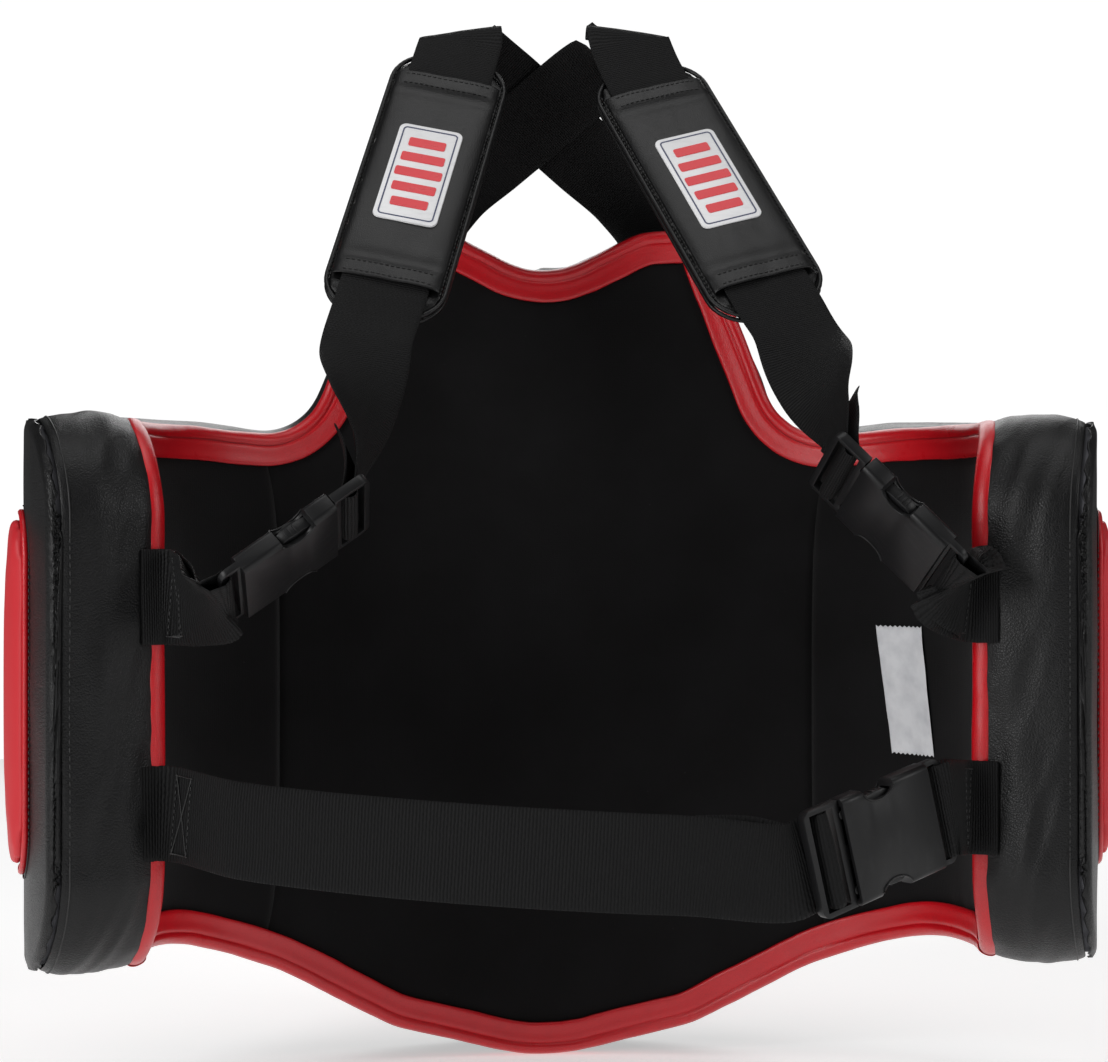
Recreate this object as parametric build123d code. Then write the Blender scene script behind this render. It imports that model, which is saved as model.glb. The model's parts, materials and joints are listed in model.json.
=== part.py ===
from build123d import *
import os
from functools import lru_cache
from math import asin, cos, degrees, radians, sin

# A coach's chest protector: a padded C-shaped shell worn round the front of the body,
# two shoulder straps that cross behind the neck, sliding shoulder pads, a waist belt,
# and three side-release buckles. Millimetres; +X the wearer's right, +Y the way the
# wearer faces, +Z up. The origin is at the middle of the wearer's chest.

# Shell wall, seen from above: three tangent arcs on each side, given at the lining.
INNER_HALF_WIDTH = 238.0
INNER_FRONT = 165.0
FRONT_RADIUS = 400.0
FRONT_ANGLE = 25.0
WING_RADIUS = 182.0
WING_END_Y = -60.0

# Layers of the wall, as distances from the lining's face towards the strike face.
LINING = 1.5
COMFORT_TO = 14.0
WALL = 62.0
COVER = 2.0
LAYER_GAP = 0.2
LINING_INSET = 1.0
GUSSET = 2.0

# Outline seen from the front, right half from the neckline down: x, z, corner radius.
OUTLINE = [
    (0, 153, 60), (62, 184, 35), (98, 184, 14), (146, 54, 40), (212, 60, 60),
    (340, 60, 10), (340, -236, 10), (228, -236, 80), (165, -262, 80), (92, -304, 80),
    (0, -328, 120),
]
WING_TOP = 60.0
WING_BOTTOM = -236.0
WING_CORNER = 56.0

# Binding over the lining's edge.
BINDING = 1.3
BINDING_WIDTH = 17.0
BINDING_LIP = 7.0
NECK_SPLIT_X = 90.0
BOTTOM_SPLIT_Y = -10.0

# Lining seams and raised pads on the strike face, in degrees round the wall.
SEAM_ANGLE = 24.0
SEAM_GAP_ANGLE = 0.04
COVER_SEAM_ANGLE = 52.0
RAISED = 10.0
PAD_SKIN = 1.5
PAD_TOP = 12.0
PAD_BOTTOM = -187.0
LABEL_ANGLES = (46.0, 63.5)
LABEL_Z = (-133.0, -58.0)
LABEL_DEPTHS = (-0.9, -0.3)
BELLY_PAD_ANGLE = 42.0
RIB_PAD_ANGLES = (60.0, 106.0)

# Webbing, belt and buckles.
WEBBING = 50.8
WEBBING_THICK = 1.5
BELT_THICK = 1.6
SHOULDER_TAB_Z = -35.0
WAIST_TAB_Z = -150.0
HALF_WEB = WEBBING / 2
SEWN_DEPTHS = (13.0, -2.0)
SEWN_PROUD = 2.9

# Side-release buckle: x along it towards the strap end, y across, z towards its face.
BUCKLE_WIDTH = 58.0
BUCKLE_THICK = 12.0
HOUSING = (-46.5, 25.5)
CAVITY_FROM = -15.0
CAVITY_HALF = (25.0, 3.7)
TAIL_SLOT = (-42.3, -36.3)
FRAME = (26.3, 49.5)
SLOT_1 = (30.5, 36.0)
SLOT_2 = (39.5, 46.0)
SLOT_HALF = 26.2
BAR_X = (SLOT_1[1] + SLOT_2[0]) / 2
BAR_HALF = 1.8
FRAME_THICK = 5.6
LOOP_RADIUS = 4.0
LOOP_STEPS = 6
TAIL_BAR_X = (HOUSING[0] + TAIL_SLOT[0]) / 2
NOTCH_X = 0.5
NOTCH_SIZE = (21.0, 16.0)
NOTCH_RADIUS = 7.0
PRONG_PIVOT = (24.5, 20.5)
PRONG_ROOT = 2.4
PRONG_PLAY = 0.3
PRONG_HALF_THICK = 3.2
TONGUE_HALF = 4.0

# Shoulder pads.
PAD_SIZE = (70.0, 208.0, 8.8)
SLEEVE_LENGTH = 166.0
SLEEVE_WALL = 1.2
PAD_TRAVEL = 24.0
SLEEVE_HALF = 29.0
PATCH_SIZE = (38.0, 76.0, 1.0)

CORNER_RADIUS = (
    (INNER_HALF_WIDTH - FRONT_RADIUS * sin(radians(FRONT_ANGLE)))
    / (1 - sin(radians(FRONT_ANGLE)))
)
WIDEST_Y = INNER_FRONT - FRONT_RADIUS + (FRONT_RADIUS - CORNER_RADIUS) * cos(radians(FRONT_ANGLE))
END_ANGLE = 90.0 + degrees(asin((WIDEST_Y - WING_END_Y) / WING_RADIUS))
BREAKS = (-90.0, -FRONT_ANGLE, FRONT_ANGLE, 90.0)
TALL = (-345.0, 200.0)


def wall_point(angle, depth):
    """The point of the wall where its outward normal is turned by angle from +Y."""
    side = 1 if angle >= 0 else -1
    turn = abs(angle)
    if turn <= FRONT_ANGLE:
        x, y, radius = 0.0, INNER_FRONT - FRONT_RADIUS, FRONT_RADIUS
    elif turn <= 90:
        x, y, radius = INNER_HALF_WIDTH - CORNER_RADIUS, WIDEST_Y, CORNER_RADIUS
    else:
        x, y, radius = INNER_HALF_WIDTH - WING_RADIUS, WIDEST_Y, WING_RADIUS
    reach = radius + depth
    return (side * (x + reach * sin(radians(turn))), y + reach * cos(radians(turn)))


def wall_arcs(start, end, depth):
    """The wall's arcs between two angles, at one depth."""
    low, high = min(start, end), max(start, end)
    stops = [low] + [b for b in BREAKS if low < b < high] + [high]
    return [
        ThreePointArc(
            wall_point(a, depth), wall_point((a + b) / 2, depth), wall_point(b, depth)
        )
        for a, b in zip(stops, stops[1:])
    ]


def wall_block(start, end, inner, outer, low=TALL[0], high=TALL[1]):
    """A slab of the wall between two angles, two depths and two heights."""
    edges = wall_arcs(start, end, inner) + wall_arcs(start, end, outer)
    edges += [Line(wall_point(a, inner), wall_point(a, outer)) for a in (start, end)]
    face = make_face(Curve() + edges)
    return Pos(0, 0, low) * extrude(face, amount=high - low, dir=(0, 0, 1))


@lru_cache(maxsize=None)
def outline_prism(inset):
    """The outline seen from the front, inset all round, as a prism along Y."""
    right = [((x, z), r) for x, z, r in OUTLINE]
    left = [((-x, z), r) for x, z, r in reversed(OUTLINE) if x]
    points = [p for p, _ in right + left]
    radii = [r for _, r in right + left]
    face = make_face(FilletPolyline(*points, radius=radii, close=True))
    if inset:
        face = offset(face, amount=-inset)
    return extrude(Plane.XZ * face, amount=400, both=True)


@lru_cache(maxsize=None)
def corner_cutters(inset):
    """What rounds the top and bottom corners of both wing ends."""
    turn = radians(END_ANGLE)
    x, y = wall_point(END_ANGLE, WALL / 2)
    end = Plane(
        origin=(x, y, 0), x_dir=(cos(turn), -sin(turn), 0), z_dir=(-sin(turn), -cos(turn), 0)
    )
    size = 2 * WING_CORNER
    cutters = []
    for height, up in ((WING_TOP, 1), (WING_BOTTOM, -1)):
        centre = Pos(-WING_CORNER, height - up * WING_CORNER)
        square = centre * Pos(size / 2, up * size / 2) * Rectangle(size, size)
        shape = square - centre * Circle(WING_CORNER - inset)
        cutter = extrude(end * shape, amount=WALL, both=True)
        cutters += [cutter, mirror(cutter, about=Plane.YZ)]
    return cutters


def layer(inner, outer, inset=0.0, start=None, end=None):
    """One layer of the shell between two depths, trimmed to the inset outline."""
    limit = END_ANGLE - degrees(inset / (WING_RADIUS + WALL / 2))
    start = -limit if start is None else start
    end = limit if end is None else end
    solid = wall_block(start, end, inner, outer) & outline_prism(inset)
    for cutter in corner_cutters(inset):
        solid -= cutter
    return solid


def split_ring(ring):
    """A strip round the whole outline, cut at the neck corners and the wing bottoms."""
    neck_zone = Pos(0, 0, 150) * Box(2 * NECK_SPLIT_X, 800, 200)
    bottom_zone = Pos(0, BOTTOM_SPLIT_Y + 200, -250) * Box(800, 400, 200)
    right = (ring - neck_zone - bottom_zone).solids().sort_by(Axis.X)[-1]
    return {
        "neckline": ring & neck_zone,
        "bottom": ring & bottom_zone,
        "left_side": mirror(right, about=Plane.YZ),
        "right_side": right,
    }


def raised_pad(start, end):
    """A raised target on the strike face: its vinyl skin and the foam under it."""
    base = WALL + LAYER_GAP
    edge = degrees(PAD_SKIN / (WING_RADIUS + WALL))
    skin = wall_block(start, end, base, base + RAISED, PAD_BOTTOM, PAD_TOP)
    room = wall_block(
        start + edge, end - edge, base - 1, base + RAISED - PAD_SKIN,
        PAD_BOTTOM + PAD_SKIN, PAD_TOP - PAD_SKIN,
    )
    gap = PAD_SKIN + LAYER_GAP
    foam = wall_block(
        start + 1.2 * edge, end - 1.2 * edge, base, base + RAISED - gap,
        PAD_BOTTOM + gap, PAD_TOP - gap,
    )
    return skin - room, foam


def ribbon(stations, thick):
    """A strap through its stations: each is a centre and the vector to one edge."""
    sections = []
    for i, (centre, half) in enumerate(stations):
        before = stations[max(i - 1, 0)][0]
        after = stations[min(i + 1, len(stations) - 1)][0]
        run = after - before
        along = run - half * (run.dot(half) / half.dot(half))
        plane = Plane(origin=centre, x_dir=half, z_dir=along)
        sections.append(plane * Rectangle(2 * half.length, thick))
    return loft(sections, ruled=True)


def in_frame(plane, x, z, half=HALF_WEB):
    """A strap station at x, z in a buckle's own frame, across the buckle."""
    centre = plane.from_local_coords(Vector(x, 0, z))
    return centre, plane.y_dir * half


def buckle_plane(centre, towards_strap, width_up):
    """A buckle's own frame: x towards its strap, y across, z out of its face."""
    x_dir = Vector(*towards_strap).normalized()
    up = Vector(*width_up)
    y_dir = (up - x_dir * up.dot(x_dir)).normalized()
    return Plane(origin=centre, x_dir=x_dir, z_dir=x_dir.cross(y_dir))


def span(limits, width, thick):
    """A box along x between two limits, centred on y and z."""
    return Pos((limits[0] + limits[1]) / 2, 0, 0) * Box(limits[1] - limits[0], width, thick)


def housing():
    """The female half of a buckle: a flat box open at its mouth, with thumb notches."""
    low, high = HOUSING
    body = span((low + 12, high), BUCKLE_WIDTH, BUCKLE_THICK)
    body = fillet(body.edges().filter_by(Axis.X), 3.0)
    tail = span((low, low + 16), BUCKLE_WIDTH, 2 * BAR_HALF)
    tail = fillet(tail.edges().filter_by(Axis.Z).group_by(Axis.X)[0], 5.0)
    part = body + tail
    part -= span((CAVITY_FROM, high + 1), 2 * CAVITY_HALF[0], 2 * CAVITY_HALF[1])
    part -= span(TAIL_SLOT, 2 * SLOT_HALF, BUCKLE_THICK + 2)
    notch = extrude(RectangleRounded(*NOTCH_SIZE, NOTCH_RADIUS), amount=BUCKLE_THICK, both=True)
    for side in (-1, 1):
        part -= Pos(NOTCH_X, side * (BUCKLE_WIDTH / 2 + 1), 0) * notch
    return part


def male_frame():
    """The male half's ladder frame, with the tongue that guides it into the housing."""
    part = span(FRAME, BUCKLE_WIDTH, FRAME_THICK)
    part = fillet(part.edges().filter_by(Axis.Z).group_by(Axis.X)[-1], 5.0)
    part -= span((SLOT_1[0], SLOT_2[1]), 2 * SLOT_HALF, BUCKLE_THICK)
    part += span((SLOT_1[1], SLOT_2[0]), 2 * SLOT_HALF + 2, 2 * BAR_HALF)
    part += span((CAVITY_FROM + 6, FRAME[0] + 1), 2 * TONGUE_HALF, 5.0)
    for side in (-1, 1):
        x, y = PRONG_PIVOT
        part -= Pos(x, side * y, 0) * Cylinder(PRONG_ROOT + PRONG_PLAY, BUCKLE_THICK)
    return part


def prong(side):
    """One sprung arm of the male half, with the button that shows in its notch."""
    x, y = PRONG_PIVOT
    outline = [
        (x, y - PRONG_ROOT), (x, y + PRONG_ROOT), (x - 3, 24.4), (9.7, 24.4), (0.0, 25.6),
        (-5.0, 25.6), (-12.0, 21.5), (-12.0, 18.5), (8.0, y - PRONG_ROOT),
    ]
    face = make_face(Polyline(*outline, close=True)) + Pos(x, y) * Circle(PRONG_ROOT)
    arm = extrude(face, amount=PRONG_HALF_THICK, both=True)
    return arm if side > 0 else mirror(arm, about=Plane.XZ)


def arc_points(x, start, stop):
    """Points of the webbing's loop round a bar at x, between two turns in degrees."""
    turns = [radians(start + (stop - start) * i / LOOP_STEPS) for i in range(LOOP_STEPS + 1)]
    return [(x + LOOP_RADIUS * cos(t), LOOP_RADIUS * sin(t)) for t in turns]


def edge_point(side, depth, proud, z):
    """A point off the end of a wing: how deep in the wall, and how far off its end."""
    x, y = wall_point(END_ANGLE, depth)
    turn = radians(END_ANGLE)
    return Vector(side * (x + proud * cos(turn)), y - proud * sin(turn), z)


def tab(plane, side, height):
    """Webbing sewn to a wing's edge, taken round the tail bar and back to the edge."""
    level = Vector(0, 0, HALF_WEB)
    flip = 1 if plane.y_dir.Z > 0 else -1
    half = plane.y_dir * flip * HALF_WEB
    between = (level + half).normalized() * HALF_WEB
    under = [edge_point(side, depth, SEWN_PROUD, height) for depth in SEWN_DEPTHS]
    over = [edge_point(side, depth, SEWN_PROUD + 2.0, height) for depth in SEWN_DEPTHS]
    arrive = in_frame(plane, HOUSING[0] - 2, -LOOP_RADIUS)[0]
    leave = in_frame(plane, HOUSING[0] - 2, LOOP_RADIUS)[0]
    bar = [in_frame(plane, x, z)[0] for x, z in arc_points(TAIL_BAR_X, -80, 80)]
    stations = [(p, level) for p in under] + [(under[-1] * 0.5 + arrive * 0.5, between)]
    stations += [(p, half) for p in [arrive] + bar + [leave]]
    stations += [(over[-1] * 0.5 + leave * 0.5, between)] + [(p, level) for p in reversed(over)]
    return ribbon(stations, WEBBING_THICK)


def loop_stations(plane, before):
    """The webbing at a buckle: in by the outer slot, over the bar, and its tail back.

    before is the last station above it, which the tail lies along.
    """
    run = Vector(STRAP_LEAN[0], 0, STRAP_LEAN[1]).normalized()
    near, far = STRAP_STEPS
    main = [(BAR_X + LOOP_RADIUS + run.X * s, run.Z * s) for s in (far, near)]
    tail = [(BAR_X - LOOP_RADIUS, -BAR_HALF)]
    tail += [(BAR_X - LOOP_RADIUS + run.X * s, run.Z * s) for s in STRAP_STEPS]
    half = plane.y_dir * -HALF_WEB
    points = main + arc_points(BAR_X, 0, 180) + tail
    stations = [(in_frame(plane, x, z)[0], half) for x, z in points]
    entry, beside = stations[0][0], stations[-1][0] - stations[0][0]
    middle = before[0] * 0.5 + entry * 0.5
    turned = (before[1] + half).normalized() * HALF_WEB
    for share in TAIL_SHARES:
        leaning = (half * (1 - share) + turned * share).normalized() * HALF_WEB
        stations.append((entry + (middle - entry) * share + beside, leaning))
    return [(middle, turned)] + stations


# Shoulder straps: each starts at one chest corner, crosses behind the neck, folds over
# and comes down through its pad to its buckle. side is -1 on the wearer's left.
STRAPS = {
    "left": {
        "side": -1, "fold": Vector(-53, 142, 296), "fold_half": Vector(29, 0, 5),
        "pad_top": Vector(-55.9, 127.1, 289.1), "pad_bottom": Vector(-105.1, 9.9, 123.9),
        "buckle": Vector(-150, -75, -11), "axis": (0.786, 0.279, 0.551),
        "width_up": (0, -0.89, 0.45), "behind": 2.2,
    },
    "right": {
        "side": 1, "fold": Vector(50, 142, 298), "fold_half": Vector(29, 0, -4),
        "pad_top": Vector(54.1, 127.2, 286.8), "pad_bottom": Vector(122.9, 4.8, 127.2),
        "buckle": Vector(169, -75, 6), "axis": (-0.667, 0.269, 0.695),
        "width_up": (-0.10, 0.89, -0.44), "behind": -2.2,
    },
}
FOLD_RADIUS = 10.0
FOLD_TURNS = (35, 75, 115, 150)
STRAP_LEAN = (0.65, -0.76)
STRAP_STEPS = (9.0, 26.0)
TAIL_SHARES = (0.4, 0.8)
ANCHOR_X = 80.0
ANCHOR_Z = (142.0, 184.0)
RISE_FROM = (58.0, 203.0, 214.0)
RISE_SHARES = (0.0, 0.45, 0.75)


def pad_plane(strap):
    """A shoulder pad's own frame: y up its strap, z out of its upper face."""
    up = (strap["pad_top"] - strap["pad_bottom"]).normalized()
    out = Vector(0, -up.Z, up.Y).normalized()
    middle = strap["pad_bottom"] + up * (PAD_SIZE[1] / 2)
    return Plane(origin=middle, x_dir=up.cross(out), z_dir=out)


def shoulder_strap(strap):
    """One shoulder webbing from its sewn end to its free tail."""
    side, pad = strap["side"], pad_plane(strap)
    turn = asin(ANCHOR_X / (FRONT_RADIUS + WALL))
    tangent = Vector(cos(turn), side * sin(turn), 0) * HALF_WEB
    x, y = wall_point(degrees(turn), WALL + 1.5)
    sewn = [(Vector(-side * x, y, z), tangent) for z in ANCHOR_Z]
    rise_from = Vector(-side * RISE_FROM[0], RISE_FROM[1] + strap["behind"], RISE_FROM[2])
    across = strap["fold_half"]
    fold = [
        (
            strap["fold"] + Vector(0, FOLD_RADIUS * cos(radians(t)), FOLD_RADIUS * sin(radians(t))),
            across,
        )
        for t in FOLD_TURNS
    ]
    rise = (fold[0][0] + Vector(0, strap["behind"], 0) - rise_from).normalized()
    normal = Vector(0, rise.Z, -rise.Y).normalized()
    across_rise = rise.cross(normal) * side * HALF_WEB
    reach = (fold[0][0] - rise_from).length
    rising = [(rise_from + rise * (reach * part), across_rise) for part in RISE_SHARES]
    across_pad = pad.x_dir * HALF_WEB
    down = pad.y_dir * -1
    run = [
        (pad.origin - down * (PAD_SIZE[1] / 2 - 4), across_pad),
        (pad.origin + down * (PAD_SIZE[1] / 2 + PAD_TRAVEL), across_pad),
    ]
    plane = buckle_plane(strap["buckle"], strap["axis"], strap["width_up"])
    return ribbon(sewn + rising + fold + run + loop_stations(plane, run[-1]), WEBBING_THICK)


def shoulder_pad(strap):
    """A sliding pad: its padded base, foam, sleeve over the webbing, and front patch."""
    plane = pad_plane(strap)
    width, length, thick = PAD_SIZE
    under = -(WEBBING_THICK / 2 + 0.5) - thick
    base = plane * Pos(0, 0, under) * extrude(RectangleRounded(width, length, 26), amount=thick)
    room = plane * Pos(0, 0, under + 1.2) * extrude(
        RectangleRounded(width - 2.4, length - 2.4, 24.8), amount=thick - 2.4
    )
    foam = plane * Pos(0, 0, under + 1.4) * extrude(
        RectangleRounded(width - 2.8, length - 2.8, 24.6), amount=thick - 2.8
    )
    top = WEBBING_THICK / 2 + 0.5
    seat = -(WEBBING_THICK / 2 + 0.4)
    sleeve = plane * Pos(0, 0, (top + SLEEVE_WALL + seat) / 2) * Box(
        2 * SLEEVE_HALF, SLEEVE_LENGTH, top + SLEEVE_WALL - seat
    )
    sleeve -= plane * Pos(0, 0, (top + seat - 5) / 2) * Box(
        2 * (SLEEVE_HALF - SLEEVE_WALL) - 0.6, SLEEVE_LENGTH + 2, top - seat + 5
    )
    patch = plane * Pos(0, 0, top + SLEEVE_WALL + 0.1) * extrude(
        RectangleRounded(PATCH_SIZE[0], PATCH_SIZE[1], 4), amount=PATCH_SIZE[2]
    )
    return base - room, foam, sleeve, patch


def anchor_patches():
    """The vinyl reinforcements sewn over the ends of the shoulder webbing."""
    turn = degrees(asin(ANCHOR_X / (FRONT_RADIUS + WALL)))
    spread = degrees(32 / (FRONT_RADIUS + WALL))
    outer = WALL + 3.6
    patch = wall_block(turn - spread, turn + spread, outer, outer + 1.2, ANCHOR_Z[0] - 10, 176)
    return Compound(children=[patch.solid(), mirror(patch, about=Plane.YZ).solid()])


# Waist: the belt's arc seen from above, from the left wing's edge to the right one's.
BELT_SAG = 88.0
BELT_CHORD = 222.0
BELT_RADIUS = (BELT_CHORD**2 + BELT_SAG**2) / (2 * BELT_SAG)
BELT_CENTRE_Y = WING_END_Y - 2 + (BELT_RADIUS - BELT_SAG)
WAIST_BUCKLE_X = 158.0
WAIST_BUCKLE_Z = -160.0
BUCKLE_ENDS = ((118.0, -172.0), (196.0, -148.0))
BELT_RUN = ((-180, -155), (-140, -158), (-90, -161), (-40, -164), (10, -167), (55, -170))
BELT_IN = [(60.0, -4.4), (47.0, -4.4), (42.8, -2.8)]
BELT_OUT = [(34.6, -4.0), (39.0, -7.2), (60.0, -7.6)]
BELT_TAIL = ((82.0, -171.0), (56.0, -170.0))
BELT_TAIL_OFF = (-1.0, 4.2, 0.0)


def belt_point(x, z):
    """A point of the belt's arc behind the wearer's back."""
    return Vector(x, BELT_CENTRE_Y - (BELT_RADIUS**2 - x * x) ** 0.5, z)


def waist_plane():
    """The waist buckle's own frame, in line with the belt."""
    male, female = BUCKLE_ENDS
    ahead = belt_point(*male) - belt_point(*female)
    return buckle_plane(
        belt_point(WAIST_BUCKLE_X, WAIST_BUCKLE_Z), tuple(ahead), (0, 0, -1)
    )


def waist_belt():
    """The elastic belt from its sewn end to its free tail behind the buckle."""
    plane = waist_plane()
    flip = -1 if plane.y_dir.Z < 0 else 1
    half = plane.y_dir * flip * HALF_WEB
    level = Vector(0, 0, HALF_WEB)
    stations = [(edge_point(-1, d, SEWN_PROUD, WAIST_TAB_Z), level) for d in SEWN_DEPTHS]
    stations += [(belt_point(x, z), level) for x, z in BELT_RUN]
    outline = BELT_IN + arc_points(BAR_X, 0, 180) + BELT_OUT
    stations += [(in_frame(plane, x, z)[0], half) for x, z in outline]
    stations += [(belt_point(x, z) + Vector(*BELT_TAIL_OFF), level) for x, z in BELT_TAIL]
    return ribbon(stations, BELT_THICK)


def care_label():
    """A blank satin label on the right lining panel."""
    return wall_block(*LABEL_ANGLES, *LABEL_DEPTHS, *LABEL_Z)


nodes = {}
base, cover_from = LINING + LAYER_GAP, WALL - COVER
side_end = END_ANGLE - degrees(LINING_INSET / (WING_RADIUS + WALL / 2))
nodes["lining_centre"] = layer(0, LINING, LINING_INSET, -SEAM_ANGLE, SEAM_ANGLE)
nodes["lining_right"] = layer(0, LINING, LINING_INSET, SEAM_ANGLE + SEAM_GAP_ANGLE, side_end)
nodes["lining_left"] = mirror(nodes["lining_right"], about=Plane.YZ)

foam_inset = GUSSET + LAYER_GAP
foam_end = END_ANGLE - degrees(foam_inset / (WING_RADIUS + WALL / 2))
nodes["comfort_foam"] = layer(base, COMFORT_TO, foam_inset)
impact = (COMFORT_TO + LAYER_GAP, cover_from - LAYER_GAP)
nodes["impact_foam_front"] = layer(*impact, foam_inset, -SEAM_ANGLE, SEAM_ANGLE)
nodes["impact_foam_right"] = layer(*impact, foam_inset, SEAM_ANGLE + 0.1, foam_end)
nodes["impact_foam_left"] = mirror(nodes["impact_foam_right"], about=Plane.YZ)

nodes["front_cover"] = layer(cover_from, WALL, 0, -COVER_SEAM_ANGLE, COVER_SEAM_ANGLE)
nodes["right_side_cover"] = layer(
    cover_from, WALL, 0, COVER_SEAM_ANGLE + SEAM_GAP_ANGLE, END_ANGLE
)
nodes["left_side_cover"] = mirror(nodes["right_side_cover"], about=Plane.YZ)

gusset_to = cover_from - LAYER_GAP / 2
gusset = layer(base, gusset_to) - layer(base - 1, gusset_to + 1, GUSSET)
binding = layer(-BINDING - 0.2, BINDING_LIP, -BINDING - 0.1)
binding -= layer(-0.2, BINDING_LIP + 1, -0.1)
binding -= layer(-BINDING - 1, BINDING_LIP + 1, BINDING_WIDTH)
for kind, ring in (("gusset", gusset), ("binding", binding)):
    for place, piece in split_ring(ring).items():
        nodes[f"{place}_{kind}"] = piece

nodes["belly_pad_cover"], nodes["belly_pad_foam"] = raised_pad(-BELLY_PAD_ANGLE, BELLY_PAD_ANGLE)
for name, (start, end) in (
    ("right", RIB_PAD_ANGLES),
    ("left", (-RIB_PAD_ANGLES[1], -RIB_PAD_ANGLES[0])),
):
    nodes[f"{name}_rib_pad_cover"], nodes[f"{name}_rib_pad_foam"] = raised_pad(start, end)

nodes["strap_anchor_patches"] = anchor_patches()
nodes["care_label"] = care_label()
nodes["waist_belt"] = waist_belt()

buckles = {"waist": waist_plane()}
for name, strap in STRAPS.items():
    nodes[f"{name}_shoulder_strap"] = shoulder_strap(strap)
    pieces = shoulder_pad(strap)
    for kind, piece in zip(("base", "foam", "sleeve", "patch"), pieces):
        nodes[f"{name}_shoulder_pad_{kind}"] = piece
    buckles[f"{name}_shoulder"] = buckle_plane(strap["buckle"], strap["axis"], strap["width_up"])

for name, plane in buckles.items():
    nodes[f"{name}_buckle_housing"] = plane * housing()
    nodes[f"{name}_buckle_frame"] = plane * male_frame()
    upper = 1 if plane.y_dir.Z > 0 else -1
    nodes[f"{name}_buckle_upper_prong"] = plane * prong(upper)
    nodes[f"{name}_buckle_lower_prong"] = plane * prong(-upper)
    side = -1 if name.startswith("left") else 1
    height = WAIST_TAB_Z if name == "waist" else SHOULDER_TAB_Z
    nodes[f"{name}_tab"] = tab(plane, side, height)

os.makedirs("parts", exist_ok=True)
for name, shape in nodes.items():
    export_step(shape if isinstance(shape, Compound) else Part(shape.wrapped), f"parts/{name}.step")
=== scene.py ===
import json
import logging
import math
from dataclasses import dataclass, field
from enum import Enum
from typing import Callable, Iterable, Sequence

import bmesh
import bpy
import numpy as np
from mathutils import Matrix, Vector, kdtree, noise


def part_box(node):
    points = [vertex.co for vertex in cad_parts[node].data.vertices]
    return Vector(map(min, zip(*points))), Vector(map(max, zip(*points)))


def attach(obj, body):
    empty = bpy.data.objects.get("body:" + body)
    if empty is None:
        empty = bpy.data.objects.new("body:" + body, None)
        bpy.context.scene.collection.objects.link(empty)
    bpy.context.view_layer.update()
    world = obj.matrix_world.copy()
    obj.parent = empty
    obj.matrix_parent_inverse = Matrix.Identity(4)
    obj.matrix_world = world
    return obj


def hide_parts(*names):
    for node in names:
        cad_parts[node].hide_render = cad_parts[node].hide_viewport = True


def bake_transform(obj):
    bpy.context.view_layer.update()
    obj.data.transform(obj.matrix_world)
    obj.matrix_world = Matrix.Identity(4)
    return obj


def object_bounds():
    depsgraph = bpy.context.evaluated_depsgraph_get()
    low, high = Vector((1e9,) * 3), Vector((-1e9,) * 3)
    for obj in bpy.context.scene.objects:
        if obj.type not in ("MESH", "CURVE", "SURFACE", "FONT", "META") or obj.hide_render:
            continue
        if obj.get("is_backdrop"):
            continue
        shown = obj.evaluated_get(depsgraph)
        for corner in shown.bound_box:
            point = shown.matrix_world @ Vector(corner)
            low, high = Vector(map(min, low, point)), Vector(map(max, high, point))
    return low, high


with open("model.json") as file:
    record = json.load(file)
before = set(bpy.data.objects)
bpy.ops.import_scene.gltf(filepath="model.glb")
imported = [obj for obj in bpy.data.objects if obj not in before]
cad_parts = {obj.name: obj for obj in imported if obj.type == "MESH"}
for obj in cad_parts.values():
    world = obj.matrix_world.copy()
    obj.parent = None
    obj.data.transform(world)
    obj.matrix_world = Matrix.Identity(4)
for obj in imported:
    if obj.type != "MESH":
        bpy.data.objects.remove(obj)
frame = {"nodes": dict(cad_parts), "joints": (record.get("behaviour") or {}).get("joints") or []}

LOG = logging.getLogger("chest_protector")
SHELL = "shell"


# ---------------------------------------------------------------- shader nodes


class Graph:
    """A short way to add shader nodes to a tree and join them."""

    def __init__(self, tree: bpy.types.NodeTree) -> None:
        """Keeps the tree that nodes go into."""
        self.tree = tree

    def add(self, kind: str, inputs: dict | None = None, **settings: object) -> bpy.types.Node:
        """Adds one node.

        Args:
            kind: The node's type without its ShaderNode prefix.
            inputs: Values or sockets for its inputs, by name or number.
            **settings: Properties of the node itself.

        Returns:
            The new node.
        """
        node = self.tree.nodes.new("ShaderNode" + kind)
        for name, value in settings.items():
            setattr(node, name, value)
        for name, value in (inputs or {}).items():
            if isinstance(value, bpy.types.NodeSocket):
                self.tree.links.new(value, node.inputs[name])
            else:
                node.inputs[name].default_value = value
        return node

    def math(self, operation: str, a: object, b: object = 0.0) -> bpy.types.NodeSocket:
        """The result of one maths step on two values or sockets."""
        return self.add("Math", {0: a, 1: b}, operation=operation).outputs[0]

    def ramp(self, value: bpy.types.NodeSocket, low: float, high: float) -> bpy.types.NodeSocket:
        """A value rescaled so that low becomes 0 and high becomes 1, clamped."""
        ranged = self.add("MapRange", {"Value": value, "From Min": low, "From Max": high})
        return ranged.outputs["Result"]

    def mix(self, share: object, a: Sequence[float], b: Sequence[float]) -> bpy.types.NodeSocket:
        """A colour between two colours."""
        inputs = {"Factor": share, "A": (*a, 1.0), "B": (*b, 1.0)}
        node = self.tree.nodes.new("ShaderNodeMix")
        node.data_type = "RGBA"
        colour_inputs = [s for s in node.inputs if s.type == "RGBA"]
        if isinstance(share, bpy.types.NodeSocket):
            self.tree.links.new(share, node.inputs[0])
        else:
            node.inputs[0].default_value = share
        colour_inputs[0].default_value = inputs["A"]
        colour_inputs[1].default_value = inputs["B"]
        return next(s for s in node.outputs if s.type == "RGBA")


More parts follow.
